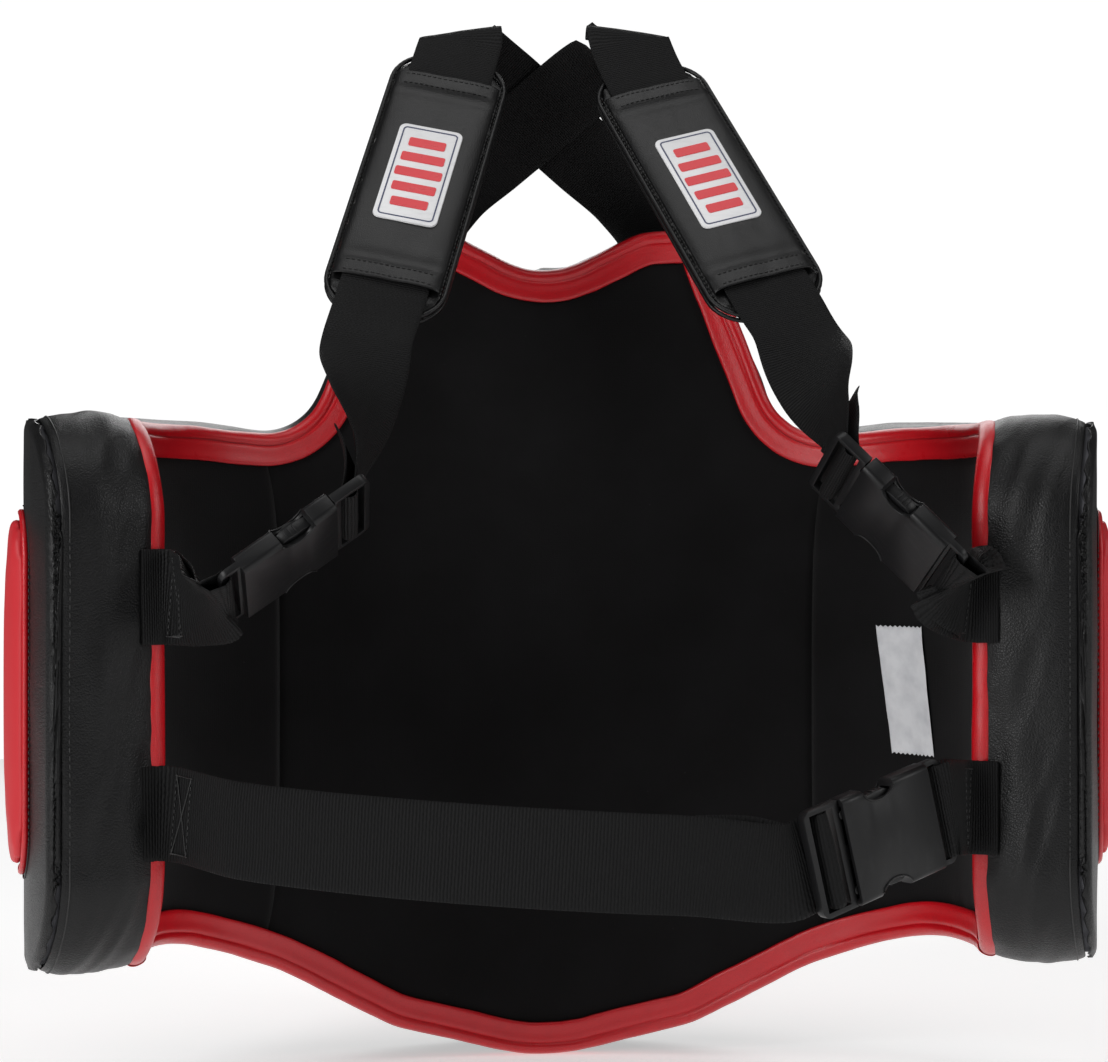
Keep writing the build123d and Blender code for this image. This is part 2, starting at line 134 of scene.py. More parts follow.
class Effects:
    """The shader groups that several finishes share, each built once."""

    _made: dict[str, bpy.types.NodeTree] = {}

    @classmethod
    def _start(cls, name: str, inputs: dict[str, float], outputs: Sequence[str]) -> tuple:
        """Starts a group: its tree, its graph, its input node and its output node."""
        tree = bpy.data.node_groups.new(name, "ShaderNodeTree")
        tree.interface.new_socket("Vector", in_out="INPUT", socket_type="NodeSocketVector")
        for label, value in inputs.items():
            socket = tree.interface.new_socket(label, in_out="INPUT", socket_type="NodeSocketFloat")
            socket.default_value = value
        for label in outputs:
            tree.interface.new_socket(label, in_out="OUTPUT", socket_type="NodeSocketFloat")
        graph = Graph(tree)
        source, result = tree.nodes.new("NodeGroupInput"), tree.nodes.new("NodeGroupOutput")
        cls._made[name] = tree
        return tree, graph, source.outputs, result.inputs

    @classmethod
    def grain(cls) -> bpy.types.NodeTree:
        """Pebbled vinyl: cells, the creases between them and slow wrinkles."""
        if "grain" in cls._made:
            return cls._made["grain"]
        tree, g, given, out = cls._start(
            "grain", {"Cells": 800.0, "Wrinkles": 45.0}, ("Height", "Crease", "Drift")
        )
        warp = g.add("TexNoise", {"Vector": given["Vector"], "Scale": 260.0, "Detail": 2.0})
        shift = g.add("VectorMath", {0: warp.outputs["Color"], 1: (0.0022,) * 3}, operation="MULTIPLY")
        place = g.add("VectorMath", {0: given["Vector"], 1: shift.outputs[0]}, operation="ADD")
        cells = g.add("TexVoronoi", {"Vector": place.outputs[0], "Scale": given["Cells"]}, feature="F1")
        edges = g.add(
            "TexVoronoi", {"Vector": place.outputs[0], "Scale": given["Cells"]}, feature="DISTANCE_TO_EDGE"
        )
        slow = g.add(
            "TexNoise",
            {"Vector": given["Vector"], "Scale": given["Wrinkles"], "Detail": 4.0, "Roughness": 0.55},
        )
        crease = g.ramp(edges.outputs["Distance"], 0.16, 0.0)
        dome = g.math("SUBTRACT", 0.7, cells.outputs["Distance"])
        height = g.math("ADD", dome, g.math("MULTIPLY", crease, -0.35))
        height = g.math("ADD", height, g.math("MULTIPLY", slow.outputs[0], 1.3))
        for name, value in (("Height", height), ("Crease", crease), ("Drift", slow.outputs[0])):
            tree.links.new(value, out[name])
        return tree

    @classmethod
    def ribs(cls) -> bpy.types.NodeTree:
        """Ribbed webbing on a strip's own lengths: ribs across it and yarns along it."""
        if "ribs" in cls._made:
            return cls._made["ribs"]
        tree, g, given, out = cls._start("ribs", {"Pitch": 0.0015, "Yarn": 0.0022}, ("Height", "Valley", "Fleck"))
        wobble = g.add("TexNoise", {"Vector": given["Vector"], "Scale": 240.0, "Detail": 2.0})
        parts = g.add("SeparateXYZ", {0: given["Vector"]})
        along = g.math("ADD", parts.outputs["Y"], g.math("MULTIPLY", wobble.outputs[0], 0.0006))
        turns = g.math("MULTIPLY", g.math("DIVIDE", along, given["Pitch"]), 2 * math.pi)
        rib = g.math("ABSOLUTE", g.math("SINE", turns))
        across = g.math("MULTIPLY", g.math("DIVIDE", parts.outputs["X"], given["Yarn"]), 2 * math.pi)
        yarn = g.math("MULTIPLY", g.math("SINE", across), g.math("COSINE", turns))
        fleck = g.add("TexNoise", {"Vector": given["Vector"], "Scale": 1900.0, "Detail": 3.0})
        height = g.math("ADD", rib, g.math("MULTIPLY", yarn, 0.22))
        height = g.math("ADD", height, g.math("MULTIPLY", fleck.outputs[0], 0.3))
        for name, value in (("Height", height), ("Valley", g.math("SUBTRACT", 1.0, rib)), ("Fleck", fleck.outputs[0])):
            tree.links.new(value, out[name])
        return tree

    @classmethod
    def knit(cls) -> bpy.types.NodeTree:
        """Fine knitted cloth with soft pile and a few flecks of lint."""
        if "knit" in cls._made:
            return cls._made["knit"]
        tree, g, given, out = cls._start("knit", {"Gauge": 900.0}, ("Height", "Lint", "Drift"))
        loops = g.add("TexVoronoi", {"Vector": given["Vector"], "Scale": given["Gauge"], "Randomness": 0.45})
        pile = g.add("TexNoise", {"Vector": given["Vector"], "Scale": 2600.0, "Detail": 3.0})
        drift = g.add("TexNoise", {"Vector": given["Vector"], "Scale": 22.0, "Detail": 5.0})
        specks = g.add("TexVoronoi", {"Vector": given["Vector"], "Scale": 120.0})
        lint = g.ramp(specks.outputs["Distance"], 0.07, 0.02)
        chance = g.ramp(g.add("TexNoise", {"Vector": given["Vector"], "Scale": 37.0}).outputs[0], 0.56, 0.62)
        height = g.math("ADD", loops.outputs["Distance"], g.math("MULTIPLY", pile.outputs[0], 0.8))
        for name, value in (
            ("Height", height), ("Lint", g.math("MULTIPLY", lint, chance)), ("Drift", drift.outputs[0]),
        ):
            tree.links.new(value, out[name])
        return tree

    @classmethod
    def scuff(cls) -> bpy.types.NodeTree:
        """Fine spark-eroded texture of a moulding, with rubbed streaks."""
        if "scuff" in cls._made:
            return cls._made["scuff"]
        tree, g, given, out = cls._start("scuff", {"Fine": 1500.0}, ("Height", "Rub"))
        fine = g.add("TexNoise", {"Vector": given["Vector"], "Scale": given["Fine"], "Detail": 3.0})
        stretch = g.add("Mapping", {"Vector": given["Vector"], "Scale": (1.0, 6.0, 1.4)})
        rub = g.add("TexNoise", {"Vector": stretch.outputs[0], "Scale": 60.0, "Detail": 6.0, "Roughness": 0.65})
        tree.links.new(fine.outputs[0], out["Height"])
        tree.links.new(g.ramp(rub.outputs[0], 0.52, 0.72), out["Rub"])
        return tree


@dataclass(frozen=True)
class Finish:
    """What every finish has: a name, a base colour and a roughness."""

    name: str
    colour: tuple[float, float, float]
    roughness: float

    def material(self) -> bpy.types.Material:
        """The finish as a material, built the first time that it is asked for."""
        found = bpy.data.materials.get(self.name)
        if found:
            return found
        made = bpy.data.materials.new(self.name)
        made.use_nodes = True
        made.diffuse_color = (*self.colour, 1.0)
        shader = made.node_tree.nodes["Principled BSDF"]
        self.dress(Graph(made.node_tree), shader)
        return made

    def dress(self, g: Graph, shader: bpy.types.Node) -> None:
        """Joins the finish's own nodes to its shader."""
        raise NotImplementedError

    def place(
        self, g: Graph, group: bpy.types.NodeTree, vector: bpy.types.NodeSocket, **values: float
    ) -> bpy.types.Node:
        """Places a shared effect in this material with its own values."""
        node = g.tree.nodes.new("ShaderNodeGroup")
        node.node_tree = group
        g.tree.links.new(vector, node.inputs["Vector"])
        for label, value in values.items():
            node.inputs[label].default_value = value
        return node

    def relief(
        self, g: Graph, shader: bpy.types.Node, height: bpy.types.NodeSocket, depth: float, strength: float
    ) -> None:
        """Feeds a height to the shader's normal through a bump."""
        bump = g.add("Bump", {"Height": height, "Distance": depth, "Strength": strength})
        g.tree.links.new(bump.outputs["Normal"], shader.inputs["Normal"])


@dataclass(frozen=True)
class Vinyl(Finish):
    """Coated vinyl with a pebbled grain and a soft gloss."""

    # The colour painted into the grain's creases: painted shade.
    crease: tuple[float, float, float] = (0.001, 0.001, 0.001)
    cells: float = 820.0
    wrinkles: float = 40.0
    depth: float = 0.0004
    strength: float = 0.35
    gloss: float = 0.5

    def dress(self, g: Graph, shader: bpy.types.Node) -> None:
        """Grain in the height, painted shade in the creases, darker drift patches and uneven gloss."""
        place = g.add("TexCoord").outputs["Object"]
        grain = self.place(g, Effects.grain(), place, Cells=self.cells, Wrinkles=self.wrinkles)
        # Painted shade: the creases darken towards the crease colour; the slow drift patches add a random darker tone.
        shade = g.math("MULTIPLY", grain.outputs["Crease"], 0.55)
        crease_shade_and_drift = g.math("ADD", shade, g.math("MULTIPLY", g.ramp(grain.outputs["Drift"], 0.45, 0.8), 0.25))
        g.tree.links.new(g.mix(crease_shade_and_drift, self.colour, self.crease), shader.inputs["Base Color"])
        rough = g.math("ADD", self.roughness, g.math("MULTIPLY", grain.outputs["Drift"], 0.10))
        rough = g.math("ADD", rough, g.math("MULTIPLY", grain.outputs["Crease"], 0.12))
        g.tree.links.new(rough, shader.inputs["Roughness"])
        shader.inputs["Specular IOR Level"].default_value = self.gloss
        self.relief(g, shader, grain.outputs["Height"], self.depth, self.strength)


@dataclass(frozen=True)
class Webbed(Finish):
    """Ribbed woven strap, patterned along the strap's own lengths."""

    pitch: float = 0.0028
    yarn: float = 0.0024
    # The colour painted into the valleys between the ribs: painted shade.
    valley: tuple[float, float, float] = (0.001, 0.001, 0.001)
    depth: float = 0.0005
    strength: float = 0.8

    def dress(self, g: Graph, shader: bpy.types.Node) -> None:
        """Ribs in the height, painted shade in the valleys and a yarn sheen."""
        place = g.add("UVMap").outputs["UV"]
        ribs = self.place(g, Effects.ribs(), place, Pitch=self.pitch, Yarn=self.yarn)
        # Painted shade: the valleys between the ribs darken towards the valley colour.
        shade = g.math("MULTIPLY", ribs.outputs["Valley"], 0.9)
        g.tree.links.new(g.mix(shade, self.colour, self.valley), shader.inputs["Base Color"])
        rough = g.math("ADD", self.roughness, g.math("MULTIPLY", ribs.outputs["Fleck"], 0.2))
        g.tree.links.new(rough, shader.inputs["Roughness"])
        shader.inputs["Sheen Weight"].default_value = 0.02
        shader.inputs["Sheen Roughness"].default_value = 0.4
        shader.inputs["Specular IOR Level"].default_value = 0.18
        self.relief(g, shader, ribs.outputs["Height"], self.depth, self.strength)


@dataclass(frozen=True)
class Knitted(Finish):
    """Brushed knitted lining cloth."""

    lint: tuple[float, float, float] = (0.03, 0.03, 0.032)
    gauge: float = 900.0

    def dress(self, g: Graph, shader: bpy.types.Node) -> None:
        """Loops in the height, slow shade drift and a little lint."""
        place = g.add("TexCoord").outputs["Object"]
        knit = self.place(g, Effects.knit(), place, Gauge=self.gauge)
        drift = g.ramp(knit.outputs["Drift"], 0.35, 0.7)
        share = g.math("MAXIMUM", knit.outputs["Lint"], g.math("MULTIPLY", drift, 0.12))
        g.tree.links.new(g.mix(share, self.colour, self.lint), shader.inputs["Base Color"])
        g.tree.links.new(g.math("ADD", self.roughness, g.math("MULTIPLY", drift, 0.1)), shader.inputs["Roughness"])
        shader.inputs["Sheen Weight"].default_value = 0.05
        shader.inputs["Specular IOR Level"].default_value = 0.12
        self.relief(g, shader, knit.outputs["Height"], 0.0003, 0.5)


@dataclass(frozen=True)
class Moulded(Finish):
    """Injection-moulded plastic with a fine mould texture and rubbed spots."""

    rubbed: tuple[float, float, float] = (0.03, 0.03, 0.032)
    fine: float = 1500.0
    strength: float = 0.25
    glow: float = 0.0
    gloss: float = 0.5

    def dress(self, g: Graph, shader: bpy.types.Node) -> None:
        """Mould texture in the height and paler rubbed streaks."""
        place = g.add("TexCoord").outputs["Object"]
        scuff = self.place(g, Effects.scuff(), place, Fine=self.fine)
        share = g.math("MULTIPLY", scuff.outputs["Rub"], 0.5)
        g.tree.links.new(g.mix(share, self.colour, self.rubbed), shader.inputs["Base Color"])
        rough = g.math("SUBTRACT", self.roughness, g.math("MULTIPLY", scuff.outputs["Rub"], 0.1))
        g.tree.links.new(rough, shader.inputs["Roughness"])
        shader.inputs["Specular IOR Level"].default_value = self.gloss
        if self.glow:
            shader.inputs["Emission Color"].default_value = (1.0, 1.0, 1.0, 1.0)
            shader.inputs["Emission Strength"].default_value = self.glow
        self.relief(g, shader, scuff.outputs["Height"], 0.0002, self.strength)


@dataclass(frozen=True)
class Satin(Finish):
    """Woven satin ribbon of a label."""

    # The colour painted into the weave's valleys as painted shade, and into the slow drift patches as a random tone.
    valley_shade_and_drift: tuple[float, float, float] = (0.4, 0.41, 0.44)

    def dress(self, g: Graph, shader: bpy.types.Node) -> None:
        """Fine crosswise weave with painted shade in its valleys and a silvery drift."""
        place = g.add("UVMap").outputs["UV"]
        ribs = self.place(g, Effects.ribs(), place, Pitch=0.0008, Yarn=0.0009)
        drift = g.add("TexNoise", {"Vector": place, "Scale": 70.0, "Detail": 4.0}).outputs[0]
        # Painted shade in the weave's valleys, plus a random drift in tone.
        share = g.math("ADD", g.math("MULTIPLY", ribs.outputs["Valley"], 0.25), g.ramp(drift, 0.4, 0.75))
        g.tree.links.new(g.mix(g.math("MULTIPLY", share, 0.6), self.colour, self.valley_shade_and_drift), shader.inputs["Base Color"])
        g.tree.links.new(g.math("ADD", self.roughness, g.math("MULTIPLY", drift, 0.2)), shader.inputs["Roughness"])
        shader.inputs["Sheen Weight"].default_value = 0.3
        self.relief(g, shader, ribs.outputs["Height"], 0.0001, 0.3)


# Each vinyl's crease colour is painted shade in the creases of its grain.
BLACK_VINYL = Vinyl("black_pebbled_vinyl", (0.0036, 0.0036, 0.0040), 0.30, gloss=0.30)
SMOOTH_VINYL = Vinyl(
    "black_smooth_vinyl", (0.0034, 0.0034, 0.0038), 0.27, cells=1300.0, wrinkles=55.0, strength=0.22, gloss=0.35
)
RED_VINYL = Vinyl("red_vinyl", (0.50, 0.002, 0.007), 0.34, crease=(0.25, 0.001, 0.003), gloss=0.35)
RED_BINDING = Vinyl(
    "red_binding_tape", (0.58, 0.002, 0.009), 0.24, crease=(0.34, 0.001, 0.004),
    cells=1500.0, wrinkles=70.0, strength=0.18, gloss=0.6,
)
LINING_CLOTH = Knitted("black_lining_cloth", (0.0036, 0.0034, 0.0036), 0.85)
FOAM = Knitted("grey_foam", (0.10, 0.10, 0.11), 0.9, lint=(0.16, 0.16, 0.17), gauge=1400.0)
STRAP_WEBBING = Webbed("black_webbing", (0.0050, 0.0050, 0.0054), 0.50)
BELT_ELASTIC = Webbed("black_elastic", (0.0046, 0.0046, 0.0050), 0.55, pitch=0.0036, yarn=0.0040)
BUCKLE_PLASTIC = Moulded(
    "black_buckle_plastic", (0.0065, 0.0065, 0.0070), 0.40, rubbed=(0.015, 0.015, 0.016), gloss=0.3
)
BLACK_THREAD = Moulded("black_thread", (0.012, 0.012, 0.012), 0.45, fine=4000.0, strength=0.6)
RED_THREAD = Moulded(
    "red_thread", (0.30, 0.003, 0.008), 0.5, rubbed=(0.45, 0.01, 0.02), fine=4000.0, strength=0.6
)
PATCH_WHITE = Moulded("white_patch", (0.80, 0.80, 0.81), 0.38, rubbed=(0.62, 0.62, 0.64))
PATCH_NAVY = Moulded("navy_patch_line", (0.010, 0.020, 0.085), 0.35, rubbed=(0.03, 0.04, 0.11))
PATCH_RED = Moulded("red_patch_bar", (0.66, 0.006, 0.018), 0.32, rubbed=(0.55, 0.01, 0.02))
LABEL_SATIN = Satin("silver_label_satin", (0.70, 0.71, 0.73), 0.35)
PALE_FLOOR = Moulded(
    "pale_floor", (0.86, 0.86, 0.86), 0.7, rubbed=(0.84, 0.84, 0.84), fine=300.0, strength=0.02, glow=0.45
)


# ---------------------------------------------------------------- mesh helpers


def grid(
    points: np.ndarray, uv: np.ndarray | None = None, closed: bool = False, caps: bool = False
) -> bmesh.types.BMesh:
    """A sheet of quads through rows and columns of points.

    Args:
        points: Rows by columns by three coordinates.
        uv: Rows by columns by two lengths for the sheet's own map, or None.
        closed: Whether the last column lies on the first one and is merged with it.
        caps: Whether the open ends of a closed tube are filled.

    Returns:
        The new bmesh.
    """
    rows, columns = points.shape[:2]
    bm = bmesh.new()
    bmesh.ops.create_grid(bm, x_segments=columns - 1, y_segments=rows - 1, size=1.0, calc_uvs=False)
    bm.verts.ensure_lookup_table()
    cells = [
        (round((v.co.y + 1) / 2 * (rows - 1)), round((v.co.x + 1) / 2 * (columns - 1))) for v in bm.verts
    ]
    for v, (row, column) in zip(bm.verts, cells):
        v.co = points[row, column]
    if uv is not None:
        layer = bm.loops.layers.uv.new("lengths")
        for face in bm.faces:
            for loop in face.loops:
                loop[layer].uv = uv[cells[loop.vert.index]]
    if closed:
        bmesh.ops.remove_doubles(bm, verts=bm.verts, dist=1e-6)
        if caps:
            bmesh.ops.holes_fill(bm, edges=[e for e in bm.edges if e.is_boundary], sides=0)
        bmesh.ops.recalc_face_normals(bm, faces=bm.faces)
    return bm


def face_away(bm: bmesh.types.BMesh, near: np.ndarray, inwards: np.ndarray) -> None:
    """Turns an open sheet's faces so that they point away from its inner side.

    Args:
        bm: The sheet.
        near: A point by the face that is tested.
        inwards: The direction from that point to the sheet's inner side.
    """
    bm.normal_update()
    place = Vector(near)
    tested = min(bm.faces, key=lambda f: (f.calc_center_median() - place).length_squared)
    if tested.normal.dot(Vector(inwards)) > 0:
        bmesh.ops.reverse_faces(bm, faces=bm.faces)


@dataclass
class Piece:
    """One finished piece: its mesh and all that is said about it."""

    name: str
    finish: Finish
    body: str
    slot: str
    replaces: tuple[str, ...] = ()
    sharp: float = 50.0
    smooth: int = 0
    skin: float = 0.0
    bend: tuple | None = None

    def make(self, bm: bmesh.types.BMesh) -> bpy.types.Object:
        """Turns a bmesh into the piece and puts it on its body, unless it has a bend; then it is baked in place on no
        body.

        Args:
            bm: The mesh, in the row frame; it is freed.

        Returns:
            The piece's object.
        """
        mesh = bpy.data.meshes.new(self.name)
        bm.to_mesh(mesh)
        bm.free()
        for polygon in mesh.polygons:
            polygon.use_smooth = True
        mesh.set_sharp_from_angle(angle=math.radians(self.sharp))
        mesh.materials.append(self.finish.material())
        made = bpy.data.objects.new(self.name, mesh)
        bpy.context.scene.collection.objects.link(made)
        if self.skin:
            wall = made.modifiers.new("wall", "SOLIDIFY")
            wall.thickness, wall.offset, wall.use_even_offset = self.skin, -1.0, False
        if self.smooth:
            rounded = made.modifiers.new("rounded", "SUBSURF")
            rounded.levels = rounded.render_levels = self.smooth
        if self.bend:
            self.body
            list(self.bend)
            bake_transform(made)
        else:
            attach(made, self.body)
        if self.replaces:
            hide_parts(*self.replaces)
        LOG.info("%s: %d faces on %s", self.name, len(mesh.polygons), self.body)
        return made


def unit(vector: np.ndarray) -> np.ndarray:
    """Vectors of length one, along the last axis."""
    return vector / np.maximum(np.linalg.norm(vector, axis=-1, keepdims=True), 1e-12)


def ripple(along: float, across: float, seed: float) -> float:
    """Smooth repeatable noise from -1 to 1 at two coordinates."""
    return noise.noise(Vector((along, across, seed)))


def resample(path: np.ndarray, step: float) -> np.ndarray:
    """The same open path with its points evenly spaced, near a step apart."""
    reach = np.concatenate([[0], np.cumsum(np.linalg.norm(np.diff(path, axis=0), axis=1))])
    count = max(2, int(round(reach[-1] / step)) + 1)
    stops = np.linspace(0, reach[-1], count)
    return np.stack([np.interp(stops, reach, path[:, k]) for k in range(path.shape[1])], axis=1)


def tube(path: np.ndarray, radius: float, closed: bool = False, sides: int = 8) -> bmesh.types.BMesh:
    """A round piping or rim along a path.

    Args:
        path: The centre line's points.
        radius: The tube's radius.
        closed: Whether the path's ends meet.
        sides: How many sides the section has.

    Returns:
        The tube.
    """
    ahead = np.roll(path, -1, 0) - np.roll(path, 1, 0) if closed else np.gradient(path, axis=0)
    ahead = unit(ahead)
    side = np.cross(ahead, [0.31, 0.17, 0.93])
    side = unit(side)
    up = np.cross(ahead, side)
    turns = np.linspace(0, 2 * math.pi, sides + 1)
    points = path[:, None] + radius * (
        np.cos(turns)[None, :, None] * side[:, None] + np.sin(turns)[None, :, None] * up[:, None]
    )
    if closed:
        points = np.concatenate([points, points[:1]])
    return grid(points, closed=True, caps=not closed)


@dataclass
class Stitching:
    """Rows of sewn stitches, gathered in one mesh."""

    pitch: float = 0.0036
    length: float = 0.0029
    radius: float = 0.00042
    bm: bmesh.types.BMesh = field(default_factory=bmesh.new)

    def sew(self, path: np.ndarray, out: np.ndarray) -> None:
        """Sews one row.

        Args:
            path: The row's points, just above the cloth.
            out: The direction away from the cloth at each point.
        """
        rows = resample(np.concatenate([path, out], axis=1), self.pitch)
        for here, there in zip(rows[:-1], rows[1:]):
            ahead = Vector(there[:3] - here[:3])
            if ahead.length < 1e-5:
                continue
            ahead.normalize()
            up = Vector(here[3:])
            side = ahead.cross(up).normalized()
            up = side.cross(ahead)
            middle = Vector((here[:3] + there[:3]) / 2)
            turn = Matrix((ahead, side, up)).transposed().to_4x4()
            size = Matrix.Diagonal((self.length / 2, self.radius, self.radius, 1.0))
            bmesh.ops.create_icosphere(
                self.bm, subdivisions=1, radius=1.0, matrix=Matrix.Translation(middle) @ turn @ size
            )


def puff(
    piece: bpy.types.Object, held: Callable[[Vector], bool], voxel: float, pressure: float, cap: float
) -> None:
    """Swells a padded form with cloth under pressure and keeps the result.

    Args:
        piece: The object; its mesh is remeshed, swollen and given one subdivision.
        held: Whether a point is sewn down and stays where it is.
        voxel: The remesh's voxel size.
        pressure: The cloth's inner pressure.
        cap: The furthest that a point may move.
    """
    remesh = piece.modifiers.new("remesh", "REMESH")
    remesh.mode, remesh.voxel_size = "VOXEL", voxel
    bake(piece)
    rest = np.array([v.co for v in piece.data.vertices])
    pinned = [v.index for v in piece.data.vertices if held(v.co)]
    group = piece.vertex_groups.new(name="sewn")
    group.add(pinned, 1.0, "REPLACE")
    cloth = piece.modifiers.new("cloth", "CLOTH")
    cloth.settings.use_pressure = True
    cloth.settings.uniform_pressure_force = pressure
    cloth.settings.effector_weights.gravity = 0.0
    cloth.settings.vertex_group_mass = "sewn"
    cloth.settings.tension_stiffness = cloth.settings.compression_stiffness = 20.0
    cloth.collision_settings.use_collision = False
    cloth.point_cache.frame_start, cloth.point_cache.frame_end = 1, 20
    for number in range(1, 21):
        bpy.context.scene.frame_set(number)
    bake(piece)
    bpy.context.scene.frame_set(1)
    piece.vertex_groups.clear()
    moved = np.array([v.co for v in piece.data.vertices])
    step = moved - rest
    far = np.linalg.norm(step, axis=1, keepdims=True)
    step *= np.minimum(1.0, cap / np.maximum(far, 1e-9))
    piece.data.vertices.foreach_set("co", (rest + step).astype(np.float32).ravel())
    bm = bmesh.new()
    bm.from_mesh(piece.data)
    for _ in range(2):
        bmesh.ops.smooth_vert(
            bm, verts=bm.verts, factor=0.5, use_axis_x=True, use_axis_y=True, use_axis_z=True
        )
    bm.to_mesh(piece.data)
    bm.free()
    for polygon in piece.data.polygons:
        polygon.use_smooth = True
    rounded = piece.modifiers.new("rounded", "SUBSURF")
    rounded.levels = rounded.render_levels = 1


def merge(bm: bmesh.types.BMesh, part: bmesh.types.BMesh) -> None:
    """Adds one mesh to another and frees it.

    Args:
        bm: The mesh that grows.
        part: The mesh that is added; it is freed.
    """
    mesh = bpy.data.meshes.new("part")
    part.to_mesh(mesh)
    part.free()
    bm.from_mesh(mesh)
    bpy.data.meshes.remove(mesh)


def bake(piece: bpy.types.Object) -> None:
    """Replaces an object's mesh by its mesh with all modifiers applied."""
    graph = bpy.context.evaluated_depsgraph_get()
    mesh = bpy.data.meshes.new_from_object(piece.evaluated_get(graph), depsgraph=graph)
    piece.modifiers.clear()
    piece.data = mesh


# ---------------------------------------------------------------- the wall


@dataclass
class Wall:
    """The padded shell's curved wall, as lengths round it, heights and depths.

    A length is measured round the wall from the front's middle, towards the wearer's
    right; a depth from the lining's face towards the strike face.
    """

    half_width: float = 0.238
    front: float = 0.165
    front_radius: float = 0.400
    front_angle: float = math.radians(25.0)
    wing_radius: float = 0.182
    wing_end_y: float = -0.060
    thickness: float = 0.062
    top: float = 0.060
    bottom: float = -0.236
    corner: float = 0.056
    upper_edge: tuple = (
        ((0, 0.153), 0.060), ((0.062, 0.184), 0.035), ((0.098, 0.184), 0.014),
        ((0.146, 0.054), 0.040), ((0.212, 0.060), 0.060), ((0.340, 0.060), 0.0),
    )
    lower_edge: tuple = (
        ((0, -0.328), 0.120), ((0.092, -0.304), 0.080), ((0.165, -0.262), 0.080),
        ((0.228, -0.236), 0.080), ((0.340, -0.236), 0.0),
    )
    upper_wing_x: float = 0.216
    lower_wing_x: float = 0.2445
    step: float = 0.004

    def __post_init__(self) -> None:
        """Works out the arcs that the sizes give, and the two edges' lines."""
        sine = math.sin(self.front_angle)
        self.corner_radius = (self.half_width - self.front_radius * sine) / (1 - sine)
        drop = (self.front_radius - self.corner_radius) * math.cos(self.front_angle)
        self.widest_y = self.front - self.front_radius + drop
        self.end_angle = math.pi / 2 + math.asin((self.widest_y - self.wing_end_y) / self.wing_radius)
        self.upper_line = self._rounded(self.upper_edge, self.upper_wing_x)
        self.lower_line = self._rounded(self.lower_edge, self.lower_wing_x)

    def _rounded(self, corners: Sequence[tuple], reach: float) -> np.ndarray:
        """One edge's front view from the middle out to a limit, with rounded corners."""
        first = (-corners[1][0][0], corners[1][0][1])
        points = [np.array(first)] + [np.array(p, float) for p, _ in corners]
        radii = [0.0] + [r for _, r in corners]
        line = [points[0]]
        for before, here, after, radius in zip(points, points[1:], points[2:], radii[1:]):
            a, b = unit(before - here), unit(after - here)
            half = math.acos(max(-1.0, min(1.0, float(a @ b)))) / 2
            if half > math.pi / 2 - 1e-3:
                continue
            cut = radius / math.tan(half)
            centre = here + unit(a + b) * (radius / math.sin(half))
            start, stop = here + a * cut - centre, here + b * cut - centre
            for share in np.linspace(0, 1, 16):
                line.append(centre + unit(start * (1 - share) + stop * share) * radius)
        line.append(points[-1])
        fine = resample(np.array(line), self.step / 8)
        middle = np.argmin(np.abs(fine[:, 0]))
        kept = fine[middle:][fine[middle:, 0] < reach]
        kept[0, 0] = 0.0
        edge = resample(kept, self.step)
        edge[-1, 0] = reach
        return edge

    def arc(self, angle: np.ndarray, depth: np.ndarray) -> np.ndarray:
        """The length round the wall at an angle and a depth."""
        turn = np.abs(angle)
        length = (self.front_radius + depth) * np.minimum(turn, self.front_angle)
        length = length + (self.corner_radius + depth) * np.clip(turn - self.front_angle, 0, math.pi / 2 - self.front_angle)
        length = length + (self.wing_radius + depth) * np.maximum(turn - math.pi / 2, 0)
        return np.sign(angle) * length

    def angle(self, length: np.ndarray, depth: np.ndarray) -> np.ndarray:
        """The angle at a length round the wall, at a depth."""
        rest = np.abs(length)
        front = (self.front_radius + depth) * self.front_angle
        corner = (self.corner_radius + depth) * (math.pi / 2 - self.front_angle)
        turn = np.minimum(rest, front) / (self.front_radius + depth)
        turn = turn + np.clip(rest - front, 0, corner) / (self.corner_radius + depth)
        turn = turn + np.maximum(rest - front - corner, 0) / (self.wing_radius + depth)
        return np.sign(length) * turn

    def angle_at_x(self, x: np.ndarray, depth: float) -> np.ndarray:
        """The angle of the wall's front half at a sideways place."""
        radius = self.front_radius + depth
        flat = np.arcsin(np.clip(np.abs(x) / radius, -1, 1))
        centre = self.half_width - self.corner_radius
        bent = np.arcsin(np.clip((np.abs(x) - centre) / (self.corner_radius + depth), -1, 1))
        return np.sign(x) * np.where(flat <= self.front_angle, flat, bent)

    def place(self, length: np.ndarray, height: np.ndarray, depth: np.ndarray) -> np.ndarray:
        """Points in the row frame.

        Args:
            length: Lengths round the wall.
            height: Heights.
            depth: Depths in the wall.

        Returns:
            The points, with a last axis of three.
        """
        length, height, depth = np.broadcast_arrays(length, height, depth)
        return self.at(self.angle(length, np.maximum(depth, 0.0)), height, depth)

    def at(self, angle: np.ndarray, height: np.ndarray, depth: np.ndarray) -> np.ndarray:
        """Points in the row frame at angles round the wall, heights and depths."""
        angle, height, depth = np.broadcast_arrays(angle, height, depth)
        turn, side = np.abs(angle), np.where(angle < 0, -1.0, 1.0)
        front, wing = turn <= self.front_angle, turn > math.pi / 2
        radius = np.where(front, self.front_radius, np.where(wing, self.wing_radius, self.corner_radius))
        x = np.where(front, 0.0, self.half_width - radius)
        y = np.where(front, self.front - self.front_radius, self.widest_y)
        reach = radius + depth
        return np.stack([side * (x + reach * np.sin(turn)), y + reach * np.cos(turn), height], axis=-1)

    def out(self, length: np.ndarray, depth: float) -> np.ndarray:
        """Directions out of the strike face at lengths round the wall."""
        angle = self.angle(length, np.maximum(depth, 0.0))
        return np.stack([np.sin(angle), np.cos(angle), np.zeros_like(angle)], axis=-1)

    def end_length(self, depth: float) -> float:
        """The length round the wall of a wing's end, at a depth."""
        return float(self.arc(np.array(self.end_angle), np.array(depth)))

